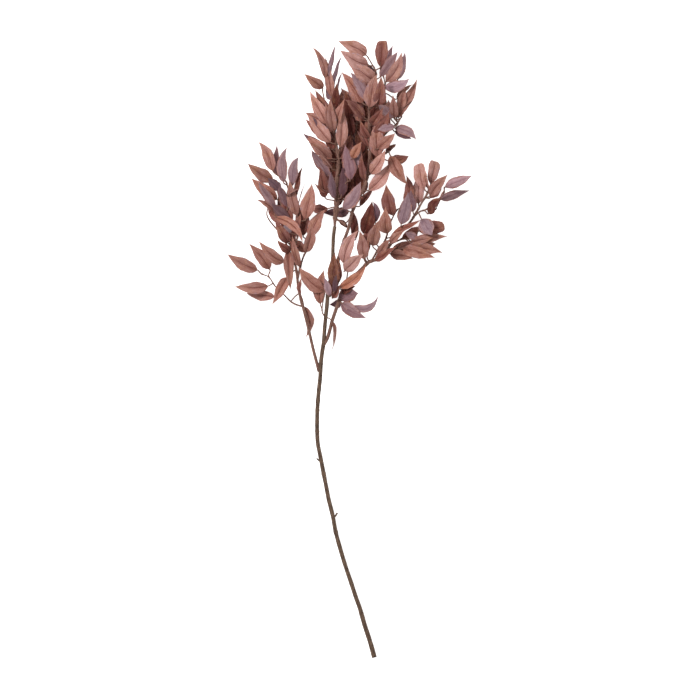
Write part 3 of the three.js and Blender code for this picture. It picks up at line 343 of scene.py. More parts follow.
rightLeader = {
    "seed": 51,
    "shoots": [
        {  # leader
            "radius": [2.9, 2.8, 2.8, 2.8, 2.4, 1.8],
            "path": [(328.3, 289.5, 36), (333, 282, 42), (337.5, 271, 47), (338.3, 261, 48),
                     (340.8, 250, 49), (343.5, 242, 51), (346.5, 234, 53), (348.8, 227, 54),
                     (351, 217, 56), (353.7, 208, 57), (357.3, 200.5, 58), (362, 192, 60),
                     (366, 182, 61), (368, 172, 62), (369.5, 157, 63), (369.8, 140, 63), (369, 122, 62),
                     (369, 108, 61)],
        },
        {  # crown, from the leader
            "radius": [1.6, 1],
            "path": [(369, 111, 61), (372.3, 96, 60), (374.8, 82, 62), (375.6, 71.5, 65),
                     (371.8, 64, 68), (368.5, 58.5, 70)],
        },
        {  # second, from the leader
            "radius": [1.6, 1],
            "path": [(369, 110, 61), (376.5, 103, 57), (383, 95, 56), (385, 84, 57), (383, 75, 58)],
        },
        {  # upper, from the leader
            "radius": [1.7, 1],
            "path": [(369.7, 148, 63), (378, 141, 58), (387, 132.5, 54), (394.5, 126, 52),
                     (398.5, 121.5, 52), (402, 116, 52)],
        },
        {  # middle, from the leader
            "radius": [1.7, 1],
            "path": [(369.2, 162, 62.5), (377, 158.5, 54), (385, 153, 50), (390, 150.5, 48)],
        },
        {  # inner, from the leader
            "radius": [1.6, 1],
            "path": [(369.8, 142, 63), (364.5, 131, 66), (359.5, 120, 66), (357, 110, 64)],
        },
        {  # deep, from the leader
            "radius": [1.6, 1],
            "path": [(366, 182, 61), (361.5, 174, 50), (358.5, 163, 40), (356.5, 149, 32),
                     (356, 134, 30), (357.5, 119, 30)],
        },
    ],
    "leaves": [
        ("rose", 366, 55.5, 337.8, 41.3, 72, 0, 1, 1.08, 0, -0.08),
        ("rose", 368, 65.5, 340, 50.7, 70, -5, 1, 1.35, 0, 0.06),
        ("shadedDusk", 375, 79, 365, 60.5, 58, 190, 0.75),
        ("rose", 374, 81, 348, 64, 62, 0, 0.95, 1.4),
        ("heather", 367.5, 100, 350.5, 72.8, 70, 180, 0.9, 1.05),
        ("brown", 380.5, 67, 381.3, 39.8, 62, 0, 0.88, 1.05, 0.32),
        ("lilac", 383, 73, 393, 44.6, 50, 175, 1, 0.85),
        ("heather", 380, 77, 397.6, 52, 60, 190, 1, 0.9),
        ("rose", 386, 81.5, 401.5, 52.5, 66, 0, 1, 1.05, 0, -0.06),
        ("heather", 398, 79, 405, 52, 52, 165, 0.8, 0.8, 0, 0.08),
        ("lilac", 384, 87.5, 409.2, 78.5, 60, 180, 1, 1.05, 0, 0.1),
        ("shadedDusk", 397, 99, 413.2, 84, 44, 60, 1, 0.7),
        ("mid", 399, 115, 416.8, 79.2, 58, 10, 1, 0.95, 0, -0.07),
        ("mid", 396.5, 118, 406, 86.5, 54, -10),
        ("mid", 394, 118, 392.8, 95, 56, 20, 0.8, 0.9),
        ("mid", 391, 119, 388.5, 99.5, 50, 0, 0.8, 0.9),
        ("brown", 402, 112, 412.7, 101, 52, 85, 0.6, 0.7),
        ("heather", 393.5, 118, 378.5, 105.5, 62, 180, 0.75, 1.1),
        ("mid", 369.5, 107.5, 377, 74.5, 72, 5, 1, 1.2),
        ("brown", 377.5, 107.5, 381, 76.5, 68, -10, 1, 1.1),
        ("mid", 384, 108.5, 385.5, 86, 58, 30, 0.8, 0.8),
        ("brown", 365, 120.5, 349.5, 108, 60, 30, 0.8, 0.9),
        ("brown", 371.5, 125, 383, 108, 64, 0, 0.8),
        ("brown", 376, 139, 389, 112, 60, -15, 1, 1.1),
        ("lilac", 395, 126.5, 377.5, 130, 70, 175, 0.7, 0.8),
        ("heather", 394.5, 128, 416, 140, 60, 180, 0.8, 0.9, 0, -0.08),
        ("mid", 378.3, 157, 376, 120.5, 66, 5, 1, 1.35),
        ("mid", 378, 148.5, 395, 133.5, 74, 0, 0.7, 1.1),
        ("shadedDusk", 386.5, 153.5, 396, 144, 44, 40, 0.5, 0.9),
        ("mid", 390.5, 156, 407.2, 184.3, 62, 0, 1, 1.05, 0, -0.06),
        ("brown", 388, 160.5, 408.8, 155.8, 48, 10, 0.7, 1, 0, -0.08),
        ("rose", 370.5, 174, 385.3, 150, 66, 5, 0.9, 1.15, 0, -0.06),
        ("rose", 368.8, 190, 391, 162, 64, 0, 1, 1.1, 0, -0.08),
        ("brown", 360, 206, 373.5, 188.5, 50, 30, 0.75, 0.8),
        ("brown", 364, 181, 362, 153, 60, 25, 1, 0.7),
        ("brown", 368, 147.5, 352, 126, 60, -40, 1, 0.7),
        ("brown", 369, 138.5, 361, 121, 66, 20, 0.7, 0.9),
        ("deep", 356, 239, 351.5, 208, 46, 20, 1, 0.8),
        ("mid", 362.5, 103, 341.5, 72.5, 60, 0, 1, 1.05, 0, -0.04),
        ("brown", 364.5, 118, 345, 100, 66, -5, 0.9, 0.95),
        ("mid", 357, 108, 341, 88, 56, 0, 0.85, 0.95),
        ("heather", 329.5, 296, 324.2, 277.5, 58, 185, 0.55, 0.85),
        ("shadedUmber", 334, 289, 335, 252.5, 54, 5, 1, 1.2),
        ("shadedDusk", 333.9, 292.5, 336.6, 274.5, 61, 195, 0.58, 0.6),
        ("brown", 333, 298, 341, 285, 46, 0, 0.5),
        ("deep", 350, 119, 345.5, 91, 42, 0, 0.85),
        ("deep", 362, 168, 351, 140, 30, 0),
        ("deep", 357, 160, 369, 133, 32, 10),
        ("deep", 354.5, 147, 346, 118, 26, 170),
        ("deep", 357, 137, 365, 107, 28, 0),
        ("deep", 355, 133, 349, 102, 24, 0),
        ("deep", 359, 120, 371, 92, 26, 0),
        ("deep", 356, 119, 352, 88, 26, 20),
        ("brown", 364, 180, 352, 154, 40, 0, 0.9),
        ("brown", 371, 124, 375, 98, 50, 0, 0.8),
        ("deep", 372, 104, 366, 78, 44, 0, 0.8, 0.9),
        ("shadedDusk", 394.5, 131.5, 411.5, 139, 56, 185, 0.55, 0.95, 0, -0.02),
        ("deep", 354, 193, 356.5, 164, 38, 0, 0.85, 0.95),
        ("deep", 361.5, 153, 357.5, 126, 32, 0, 0.8),
        ("deep", 352, 136, 346, 103, 44, 5, 0.85),
        ("deep", 366, 128, 361, 95, 36, 0, 0.9),
        ("brown", 369, 142, 367.5, 110, 50, 10, 0.85, 0.9),
        ("brown", 384.5, 133, 386, 103, 42, 0, 0.8),
        ("deep", 380, 128, 379.5, 100, 40, 10, 0.75, 0.9),
        ("deep", 363.5, 194, 358, 163, 42, 0, 0.85, 1.1),
        ("deep", 372, 169, 375, 144, 46, 0, 0.7),
        ("deep", 337.5, 284, 337.3, 256, 56, 10, 0.8, 0.9),
        ("deep", 367.5, 176, 366.5, 147, 44, 0, 0.82, 0.95),
        ("deep", 363.5, 105, 366, 77, 42, 0, 0.8, 0.9),
        ("deep", 361, 116, 358, 91, 38, 0, 0.72, 0.9),
    ],
}

leftSprig = {
    "seed": 67,
    "shoots": [
        {  # sprig
            "radius": [1.3, 0.9],
            "path": [(325.6, 318, 33), (322.2, 312, 37), (322.6, 304, 41), (324.2, 296, 44),
                     (325, 291, 45)],
        },
    ],
    "leaves": [
        ("mid", 324.2, 291, 299, 267, 46, 0, 1, 1.2, 0, 0.1),
        ("mid", 320.5, 304, 324, 269.5, 38, 10, 1, 1.1, 0, 0.07),
    ],
}

hangingLeaf = {
    "seed": 79,
    "shoots": [
        {  # stalk, from the main stem
            "radius": [1.2, 0.9],
            "path": [(325.8, 316.5, 33), (331, 319.6, 38.5)],
        },
    ],
    "leaves": [
        ("mid", 332.6, 321.5, 331, 351, 37, 62, 1, 0.7),
    ],
}

# An ordinary leaf in millimetres. A spread is how far the seeded draws change a value either way.
leafShape = {
    "length": 62,
    "width": 22,
    "baseFullness": 0.72,  # the width grows as t to this power and dies as (1 - t) to tipTaper
    "tipTaper": 1.22,
    "tipWidth": 1,
    "thickness": 0.5,
    "lengthSpread": 0.07,
    "widthSpread": 0.08,
    "turnSpread": 9,  # degrees
    "archMiddle": 0.05,  # height of the arch over the leaf's length
    "archSpread": 0.04,
    "bowSpread": 0.035,
    "foldMiddle": 15,  # degrees that each half is folded up along the midrib
    "foldSpread": 8,
    "puff": 0.09,  # how far each half swells between midrib and margin, over the half width
    "twist": 14,  # degrees either way between base and tip
    "twistCentre": 0.35,  # where along the leaf the twist is nothing
    "ripple": 1.1,  # millimetres at the margin
    "rippleWaves": (1.2, 2.2),  # the fewest and the most from base to tip
    "rippleFrom": 0.4,  # half widths under this share of the width ripple less
    "edgeWave": 0.06,  # how far the margins wander, over the half width
    "edgeWaves": 2.4,  # from base to tip
    "sway": 0.05,  # how far a tip sweeps sideways, over the leaf's length
    "grooveWidth": 0.9,
    "grooveMost": 0.3,  # over the half width, where the leaf is narrow
    "grooveDepth": 0.35,
    "grooveEnd": 0.72,  # share of the length where it has died away
    "grooveFade": 0.1,
    "stations": [0.02, 0.09, 0.2, 0.32, 0.44, 0.56, 0.68, 0.79, 0.88, 0.95, 0.985],
    "swell": 0.55,  # where each half swells most, from the groove's lip (0) to the margin (1)
}
# Leaves folded over at the top, in shares of their length
blunt = {
    "curl": 0.2,  # leaves that curl more than this are folded over at the top
    "overlap": 1.75,  # the share folded over, for each unit of curl above that
    "foldLength": 0.3,
    "foldAngle": 160,  # degrees
    "flatBefore": 0.35,  # how far before the fold the halves begin to open flat
    "flatLength": 0.3,
    "flatTurn": 1.5,  # 1 opens them flat, more bends them back
    "steps": 240,  # in which the fold is summed along the leaf
    "tipTaper": 0.8,
}
# A leaf's stalk, in millimetres
stalk = {
    "radius": 1.2,
    "reach": 10,  # how far behind its blade a leaf looks for the shoot it grows from
    "sides": 7,
    "steps": 9,
    "handles": (0.4, 0.35),  # along the shoot and back from the blade, over the distance between
    "collar": 0.55,  # extra radius at its root, over its own
    "collarLength": 0.1,  # over the stalk's length
    "intoBlade": [0.03, 0.08, 0.14],  # shares of the leaf's length
    "bladeRadius": 0.75,  # over its own, where it enters the blade
    "bladeTaper": 0.9,  # what it loses from there over as many points as the stalk has
}
# steps are to a span of a path, and no leaf grows from the first few points of a spray, inside the stem
shootShape = {"steps": 4, "buriedSteps": 2, "sides": 10, "joint": 0.3, "jointLength": 2}


# Grid to metres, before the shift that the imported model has
def placed(points):
    points = np.asarray(points, float)
    originX, originY = layout["origin"]
    across = (points[..., 0] - originX) * square
    along = (originY - points[..., 1]) * square
    return np.stack([across, along, points[..., 2] * millimetre], axis=-1) + shift


def unit(vectors):
    return vectors / np.linalg.norm(vectors, axis=-1, keepdims=True)


def dot(a, b):
    return np.sum(a * b, axis=-1, keepdims=True)


# 0 below 0, 1 above 1, and 3x^2 - 2x^3 between them
def smooth(x):
    x = np.clip(x, 0, 1)
    return x * x * (3 - 2 * x)


# A smooth path through points. Between two of them it is the cubic whose slopes at its ends are half the
# difference of the neighbours on either side, with a mirrored point added past each end.
def smoothPath(points, steps):
    padded = np.concatenate([[2 * points[0] - points[1]], points, [2 * points[-1] - points[-2]]])
    before, start, end, after = padded[:-3, None], padded[1:-2, None], padded[2:-1, None], padded[3:, None]
    t = (np.arange(steps) / steps)[None, :, None]
    slopeIn, slopeOut = (end - before) / 2, (after - start) / 2
    bend = 3 * (end - start) - 2 * slopeIn - slopeOut
    turn = 2 * (start - end) + slopeIn + slopeOut
    spans = start + slopeIn * t + bend * t**2 + turn * t**3
    return np.concatenate([spans.reshape(-1, 3), points[-1:]])


# Points along the straight spans of a path
def spanPoints(points, steps):
    t = (np.arange(steps) / steps)[None, :, None]
    spans = points[:-1, None] * (1 - t) + points[1:, None] * t
    return np.concatenate([spans.reshape(-1, 3), points[-1:]])


# Directions square to paths: the first is level and square to the path's chord, leaning with the path
def framesAlong(paths):
    tangents = unit(np.gradient(paths, axis=-2))
    chord = paths[..., -1:, :] - paths[..., :1, :]
    level = unit(np.cross(chord + np.array([0, 1e-6, 0]), [0.0, 0.0, 1.0]))
    side = unit(level - dot(level, tangents) * tangents)
    return tangents, side, np.cross(tangents, side)


# Rings along paths: each point of a ring is the path's point plus the radius times the cosine and sine of
# its angle along the two directions square to the path. radii may differ round the ring.
def ringsAlong(paths, radii, sides):
    _, side, up = framesAlong(paths)
    angle = 2 * np.pi * np.arange(sides) / sides
    circle = np.cos(angle)[:, None] * side[..., None, :] + np.sin(angle)[:, None] * up[..., None, :]
    return paths[..., None, :] + radii[..., None] * circle


# Triangles and quads that close rings into solids: a quad between neighbours of two rings, and a fan of
# triangles from one more vertex at each end. The vertices of a solid are its rings, then its two ends.
def closedFaces(ringCount, sides):
    ring, side = np.meshgrid(np.arange(ringCount - 1), np.arange(sides), indexing="ij")
    a = ring * sides + side
    b = ring * sides + (side + 1) % sides
    quads = np.stack([a, b, b + sides, a + sides], axis=-1).reshape(-1, 4)
    turn = np.arange(sides)
    following = (turn + 1) % sides
    last = (ringCount - 1) * sides
    start, end = ringCount * sides, ringCount * sides + 1
    foot = np.stack([np.full(sides, start), following, turn], axis=-1)
    top = np.stack([np.full(sides, end), last + turn, last + following], axis=-1)
    return quads, np.concatenate([foot, top])


# Solids of the same kind as one list of vertices and faces. rings is solids x rings x sides x 3.
def solidsFrom(rings, ends):
    count, ringCount, sides, _ = rings.shape
    vertices = np.concatenate([rings.reshape(count, -1, 3), ends], axis=1)
    quads, triangles = closedFaces(ringCount, sides)
    offset = (np.arange(count) * vertices.shape[1])[:, None, None]
    return vertices.reshape(-1, 3), (quads + offset).reshape(-1, 4), (triangles + offset).reshape(-1, 3)


# Tubes as solids, their ends domed by a share of the radius. paths is tubes x points x 3 and radii
# tubes x points x sides, or x 1 where they are round.
def tubes(paths, radii, sides, dome=0.3):
    rings = ringsAlong(paths, radii, sides)
    tangents, _, _ = framesAlong(paths)
    bulge = dome * radii[..., :1]
    ends = np.stack([paths[:, 0] - bulge[:, 0] * tangents[:, 0],
                     paths[:, -1] + bulge[:, -1] * tangents[:, -1]], axis=1)
    return solidsFrom(rings, ends)


# Several lists of vertices and faces as one
def joined(parts):
    vertices, quads, triangles, offset = [], [], [], 0
    for points, four, three in parts:
        vertices.append(points)
        quads.append(four + offset)
        triangles.append(three + offset)
        offset += len(points)
    return np.concatenate(vertices), np.concatenate(quads), np.concatenate(triangles)


# A mesh object at the origin, smooth shaded and nowhere below the surface, that rides on the stem and
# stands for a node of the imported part
def piece(name, solid, materials, node):
    vertices, quads, triangles = solid
    vertices[:, 2] = np.maximum(vertices[:, 2], 0)
    mesh = bpy.data.meshes.new(name)
    mesh.from_pydata(vertices.tolist(), [], quads.tolist() + triangles.tolist())
    mesh.polygons.foreach_set("use_smooth", np.ones(len(mesh.polygons), bool))
    for material in materials:
        mesh.materials.append(material)
    mesh.validate()
    made = bpy.data.objects.new(name, mesh)
    bpy.context.scene.collection.objects.link(made)
    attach(made, "root")
    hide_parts(node)
    return made


# The seeded run that the part's source draws from: each state is the last one times 1664525 plus
# 1013904223, mod 2^32, and a value is its share of 2^32. Here spread evenly from -1 to 1.
def drawsFrom(seed, count):
    state, states = seed, []
    for _ in range(count):
        state = (state * 1664525 + 1013904223) % 2**32
        states.append(state)
    return 2 * np.array(states) / 2**32 - 1


# What the rows of a spray say, as arrays, with each leaf's own share of the seeded draws. Where a row ends
# early, the size, width, curl and bow are an ordinary leaf's.
def laidLeaves(spray):
    shape = leafShape
    ordinary = [1, 1, 0, 0]
    rows = np.array([list(row[1:]) + ordinary[len(row) - 7:] for row in spray["leaves"]], float)
    draws = drawsFrom(spray["seed"], 6 * len(rows)).reshape(-1, 6)
    size, wide, curl, hook = rows[:, 6:].T
    ownLength = shape["length"] * millimetre * size * (1 + shape["lengthSpread"] * draws[:, 0])
    width = shape["width"] * millimetre * wide * np.sqrt(size) * (1 + shape["widthSpread"] * draws[:, 1])
    base = placed(rows[:, [0, 1, 4]])
    tip = placed(rows[:, [2, 3, 4]])
    drawn = np.linalg.norm(tip - base, axis=-1)
    lean = np.sqrt(np.maximum(ownLength**2 - drawn**2, 0))
    straight = np.concatenate([spanPoints(placed(shoot["path"]), shootShape["steps"])
                               for shoot in spray["shoots"]])
    above = base[:, 2] >= straight[nearestTo(straight, base), 2] - 1e-9
    folded = curl > blunt["curl"]
    tip[:, 2] = np.where(above, base[:, 2] + lean, np.maximum(base[:, 2] - lean, 0))
    axis = unit(tip - base)
    fresh = straight[shootShape["buriedSteps"]:]
    rootIndex = shootShape["buriedSteps"] + nearestTo(fresh, base - axis * stalk["reach"] * millimetre)
    tip[folded, 2] = base[folded, 2]
    foldAt = 1 - blunt["overlap"] * (curl - blunt["curl"])
    length = np.where(folded, drawn / foldAt, np.linalg.norm(tip - base, axis=-1))
    return {
        "base": base,
        "axis": unit(tip - base),
        "length": length,
        "width": width,
        "turn": np.radians(rows[:, 5] + shape["turnSpread"] * draws[:, 5]),
        "arch": np.where(folded, 0.5 * shape["archMiddle"], curl + shape["archMiddle"]
                         + shape["archSpread"] * draws[:, 2]),
        "bow": hook + shape["bowSpread"] * draws[:, 3],
        "fold": np.radians(shape["foldMiddle"] + shape["foldSpread"] * draws[:, 4]),
        "folded": folded,
        "foldAt": foldAt,
        "rootIndex": rootIndex,
    }


# For each target, which of the points is nearest to it
def nearestTo(points, targets):
    return np.argmin(np.linalg.norm(points[None] - targets[:, None], axis=-1), axis=1)


# Points of the midribs at the fractions t of their leaves. From base to tip runs a parabola arched to the
# upper side and bowed sideways, with a sweep 27/4 t^2(1 - t) that turns the tip. A folded leaf turns down
# through the fold's angle over a stretch of its length, and its points are the summed cosines and sines
# of the angle reached.
def midribs(leaves, t):
    steps = blunt["steps"]
    fine = np.linspace(0, 1, steps + 1)
    turned = smooth((fine - leaves["foldAt"][:, None]) / blunt["foldLength"] + 0.5)
    angle = turned * np.radians(blunt["foldAngle"])
    nearest = np.rint(steps * t).astype(int)
    forward = (np.cumsum(np.cos(angle), axis=1) - 1)[:, nearest, None] / steps
    down = np.cumsum(np.sin(angle), axis=1)[:, nearest, None] / steps
    folded = leaves["folded"][:, None, None]
    ahead = np.where(folded, forward, t[None, :, None])
    below = np.where(folded, down, 0)
    t = t[None, :, None]
    parabola = 4 * t * (1 - t)
    sweep = t**2 * (1 - t) * (27 / 4) - 0.5 * parabola
    sideways = leaves["bow"][:, None, None] * parabola + leaves["sway"][:, None, None] * sweep
    length = leaves["length"][:, None, None]
    lift = leaves["arch"][:, None, None] * parabola - below
    return leaves["base"][:, None] + length * (
        leaves["axis"][:, None] * ahead + leaves["upper"][:, None] * lift
        + leaves["across"][:, None] * sideways)


# Blades as closed solids. At fraction t the half width is proportional to t^fullness (1 - t)^taper, and
# across it a point lies at w (s cos fold) sideways and w (|s| sin fold + puff 4|s|(1 - |s|)) upwards, for s
# from -1 to 1, with a groove along the midrib above, a rib below, a twist from base to tip and a ripple
# that grows to the margins. The ring of points runs over the upper side and back under it.
def bladeSolids(leaves, random):
    shape = leafShape
    count = len(leaves["base"])
    t = np.array(shape["stations"])
    path = midribs(leaves, np.concatenate([[0], t, [1]]))
    tangent = unit(np.gradient(path, axis=1))[:, 1:-1]
    ends, path = path[:, [0, -1]], path[:, 1:-1]
    side = unit(leaves["across"][:, None] - dot(leaves["across"][:, None], tangent) * tangent)
    normal = np.cross(tangent, side)
    twist = (np.radians(shape["twist"]) * random.uniform(-1, 1, (count, 1, 1))
             * (t[None, :, None] - shape["twistCentre"]))
    side, normal = (side * np.cos(twist) + normal * np.sin(twist),
                    normal * np.cos(twist) - side * np.sin(twist))
    fullness = shape["baseFullness"]
    taper = np.where(leaves["folded"], blunt["tipTaper"], shape["tipTaper"])[:, None]
    widest = fullness / (fullness + taper)
    outline = t**fullness * (1 - t)**taper / (widest**fullness * (1 - widest)**taper)
    half = np.maximum(outline * leaves["width"][:, None], shape["tipWidth"] * millimetre) / 2
    edgePhase = random.uniform(0, 2 * np.pi, (count, 1))
    half = half * (1 + shape["edgeWave"] * np.sin(shape["edgeWaves"] * 2 * np.pi * t + edgePhase))
    lip = np.minimum(shape["grooveWidth"] * millimetre / half, shape["grooveMost"])
    middle = lip + (1 - lip) * shape["swell"]
    one = np.ones_like(lip)
    s = np.stack([one, middle, lip, 0 * one, -lip, -middle, -one, -middle, 0 * one, middle], axis=-1)
    upperSide = np.array([1, 1, 1, 1, 1, 1, 1, -1, -1, -1])
    margin = np.abs(s) > 0.999
    phase = random.uniform(0, 2 * np.pi, (count, 1, 1))
    waves = random.uniform(*shape["rippleWaves"], (count, 1, 1))
    ripple = shape["ripple"] * millimetre * s**2 * np.sin(waves * 2 * np.pi * t[None, :, None] + phase)
    full = shape["rippleFrom"] * shape["width"] * millimetre
    ripple = ripple * np.minimum(half / full, 1)[..., None]
    flattening = smooth((t - leaves["foldAt"][:, None] + blunt["flatBefore"]) / blunt["flatLength"])
    opened = np.where(leaves["folded"][:, None], 1 - blunt["flatTurn"] * flattening, 1)
    fold = (leaves["fold"][:, None] * opened)[..., None]
    a = np.abs(s)
    height = half[..., None] * (a * np.sin(fold) + shape["puff"] * 4 * a * (1 - a)) + ripple
    thick = shape["thickness"] / 2 * millimetre * np.where(margin, 0, upperSide)
    deepness = smooth((shape["grooveEnd"] - t) / shape["grooveFade"])[None, :, None]
    groove = (a < 0.5 * lip[..., None]) * deepness
    height = height + thick - groove * shape["grooveDepth"] * millimetre
    sideways = half[..., None] * s * np.cos(fold)
    rings = (path[:, :, None] + side[:, :, None] * sideways[..., None]
             + normal[:, :, None] * height[..., None])
    lowest = np.where(upperSide > 0, 1, 0.2) * shape["thickness"] * millimetre
    rings[..., 2] = np.maximum(rings[..., 2], lowest)
    ends[..., 2] = np.maximum(ends[..., 2], 0.5 * shape["thickness"] * millimetre)
    solid = solidsFrom(rings, ends)
    across = (half[..., None] * s).reshape(count, -1)
    along = np.broadcast_to(t[None, :, None], s.shape).reshape(count, -1)
    across = np.concatenate([across, np.zeros((count, 2))], axis=1)
    along = np.concatenate([along, np.zeros((count, 1)), np.ones((count, 1))], axis=1)
    return solid, across.ravel(), along.ravel()


# Stalks: a curve from the root, leaving along the shoot and arriving along the blade's axis, then a little
# way up the midrib. The curve is (1 - t)^3 root + 3(1 - t)^2 t leaving + 3(1 - t) t^2 arriving + t^3 base.
def stalkTubes(leaves, roots, headings):
    count = len(roots)
    base = leaves["base"][:, None]
    reach = np.linalg.norm(base - roots[:, None], axis=-1, keepdims=True)
    t = np.linspace(0, 1, stalk["steps"])[None, :, None]
    ahead, behind = stalk["handles"]
    leaving = roots[:, None] + ahead * reach * headings[:, None]
    arriving = base - behind * reach * leaves["axis"][:, None]
    curve = ((1 - t)**3 * roots[:, None] + 3 * (1 - t)**2 * t * leaving
             + 3 * (1 - t) * t**2 * arriving + t**3 * base)
    paths = np.concatenate([curve, midribs(leaves, np.array(stalk["intoBlade"]))], axis=1)
    paths[..., 2] = np.maximum(paths[..., 2], stalk["radius"] * millimetre)
    steps = paths.shape[1]
    place = np.arange(steps) / (stalk["steps"] - 1)
    radii = 1 + stalk["collar"] * np.exp(-(place / stalk["collarLength"])**2)
    inBlade = stalk["bladeRadius"] - stalk["bladeTaper"] * (place - 1)
    radii = np.where(place > 1, inBlade, radii) * stalk["radius"] * millimetre
    return tubes(paths, np.broadcast_to(radii[None, :, None], (count, steps, 1)), stalk["sides"])


# A shoot: a round tube along the smooth path, its listed radii spread evenly over it, and thicker at each
# joint by a bell curve of the distance from it
def shootTube(path, radius, joints, sides):
    radii = np.interp(np.linspace(0, 1, len(path)), np.linspace(0, 1, len(radius)), radius) * millimetre
    distance = np.linalg.norm(path[:, None] - joints[None], axis=-1).min(axis=1)
    reach = shootShape["jointLength"] * millimetre
    radii = radii * (1 + shootShape["joint"] * np.exp(-(distance / reach)**2))
    return tubes(path[None], radii[None, :, None], sides)


# A leafy piece: the wood of its shoots and stalks, and all its blades
def spray(name, layoutRows):
    random = np.random.default_rng(layoutRows["seed"])
    leaves = laidLeaves(layoutRows)
    count = len(leaves["base"])
    axis = leaves["axis"]
    level = unit(np.cross(np.array([0.0, 0.0, 1.0]), axis))
    up = np.cross(axis, level)
    turn = leaves["turn"][:, None]
    leaves["across"] = level * np.cos(turn) - up * np.sin(turn)
    leaves["upper"] = np.cross(axis, leaves["across"])
    leaves["sway"] = leafShape["sway"] * random.uniform(-1, 1, count)

    paths = [smoothPath(placed(shoot["path"]), shootShape["steps"]) for shoot in layoutRows["shoots"]]
    shootPoints = np.concatenate(paths)
    directions = np.concatenate([unit(np.gradient(path, axis=0)) for path in paths])
    roots = shootPoints[leaves["rootIndex"]]
    wood = [shootTube(path, shoot["radius"], roots, shootShape["sides"])
            for path, shoot in zip(paths, layoutRows["shoots"])]
    wood.append(stalkTubes(leaves, roots, directions[leaves["rootIndex"]]))
    piece(name + "_wood", joined(wood), [twigBark], name)

    blades, across, along = bladeSolids(leaves, random)
    made = piece(name + "_leaves", blades, [leafUpper, leafUnder], name)
    paintBlades(made.data, layoutRows, count, across, along, random)
    print(name, "with", count, "leaves,", len(made.data.polygons), "faces")


# Sides, sharp margins, coordinates and the two colours of each leaf of a blade mesh. Points 0 and 6 of a
# ring lie on the margins.
def paintBlades(mesh, layoutRows, count, across, along, random):
    stations = len(leafShape["stations"])
    sides = np.array([0, 0, 0, 0, 0, 0, 1, 1, 1, 1])  # upper side, underside round a ring
    mesh.polygons.foreach_set("material_index", np.tile(sides, count * (stations + 1)))

    onMargin = np.zeros((stations, len(sides)), bool)
    onMargin[:, [0, 6]] = True
    onMargin = np.tile(np.concatenate([onMargin.ravel(), [True, True]]), count)
    edgeEnds = np.zeros(2 * len(mesh.edges), np.int32)
    mesh.edges.foreach_get("vertices", edgeEnds)
    sharp = onMargin[edgeEnds.reshape(-1, 2)].all(axis=1)
    mesh.attributes.new("sharp_edge", "BOOLEAN", "EDGE").data.foreach_set("value", sharp)

    corner = np.zeros(len(mesh.loops), np.int32)
    mesh.loops.foreach_get("vertex_index", corner)
    uv = np.stack([0.5 + across / (leafShape["width"] * millimetre), along], axis=-1)
    mesh.uv_layers.new(name="leaf").data.foreach_set("uv", uv[corner].ravel())

    chosen = [tones[row[0]] for row in layoutRows["leaves"]]
    light = 1 + leafColour["lightSpread"] * random.uniform(-1, 1, (count, 1))
    warmth = leafColour["warmthSpread"] * random.uniform(-1, 1, (count, 1)) * np.array([[1, 0, -1]])
    each = stations * len(sides) + 2
    seeds = np.repeat(random.uniform(0, 100, count), each)
    mesh.attributes.new("leafSeed", "FLOAT", "POINT").data.foreach_set("value", seeds)
    upper, under = [np.array([linear(pair[side]) for pair in chosen]) * light * (1 + warmth)
                    for side in (0, 1)]
    upper, under = np.repeat(upper, each, axis=0), np.repeat(under, each, axis=0)
    under += leafColour["marginShare"] * onMargin[:, None] * (upper - under)
    for attribute, own in (("upperColour", upper), ("underColour", under)):
        colour = np.concatenate([own, np.ones((count * each, 1))], axis=1)
        painted = mesh.color_attributes.new(attribute, "FLOAT_COLOR", "POINT")
        painted.data.foreach_set("color", colour.ravel())


# The bare stem: a round tube whose radius swells in rings where leaves have fallen, by a bell curve of the
# distance along the grid, ridged lengthwise by a sine round it and knobbled by slow sines along it, and two
# cut stubs
def stemWood():
    path = smoothPath(placed(mainStem["path"]), mainStem["steps"])
    sides = mainStem["sides"]
    fraction = np.linspace(0, 1, len(path))
    radii = np.interp(fraction, np.linspace(0, 1, len(mainStem["radius"])), mainStem["radius"])
    ringPlaces = placed([(0, y, 0) for y in mainStem["rings"]])[:, 1]
    swelling = np.exp(-((path[:, 1:2] - ringPlaces) / (mainStem["ringWidth"] * square))**2)
    radii = radii + mainStem["ringHeight"] * swelling.max(axis=1)
    travelled = np.cumsum(np.linalg.norm(np.gradient(path, axis=0), axis=1)) / millimetre
    angle = 2 * np.pi * np.arange(sides) / sides
    wander = mainStem["ridgeLean"] * np.sin(travelled[:, None] / mainStem["ridgeSwing"])
    ridges = np.sin(mainStem["ridges"] * angle + wander)
    short, long, fine = [np.sin(travelled / wave) for wave in mainStem["knobbleWaves"]]
    knobbles = short * long + 0.5 * fine
    uneven = mainStem["ridgeHeight"] * ridges + mainStem["knobbles"] * knobbles[:, None]
    radii = radii[:, None] * (1 + uneven)
    parts = [tubes(path[None], radii[None] * millimetre, sides, 0)]  # cut flat
    for stub in stubs:
        stubPath = smoothPath(placed(stub["path"]), mainStem["stubSteps"])
        stubRadii = np.linspace(*stub["radius"], len(stubPath)) * millimetre
        parts.append(tubes(stubPath[None], stubRadii[None, :, None], mainStem["stubSides"], 0))
    piece("main_stem_wood", joined(parts), [stemBark], "main_stem")
    print("stem made")


# sRGB hex to linear red, green and blue
def linear(colour):
    channels = np.array([int(colour[i:i + 2], 16) for i in (1, 3, 5)]) / 255
    return np.where(channels <= 0.04045, channels / 12.92, ((channels + 0.055) / 1.055)**2.4)


def rgba(colour):
    return (*linear(colour), 1)


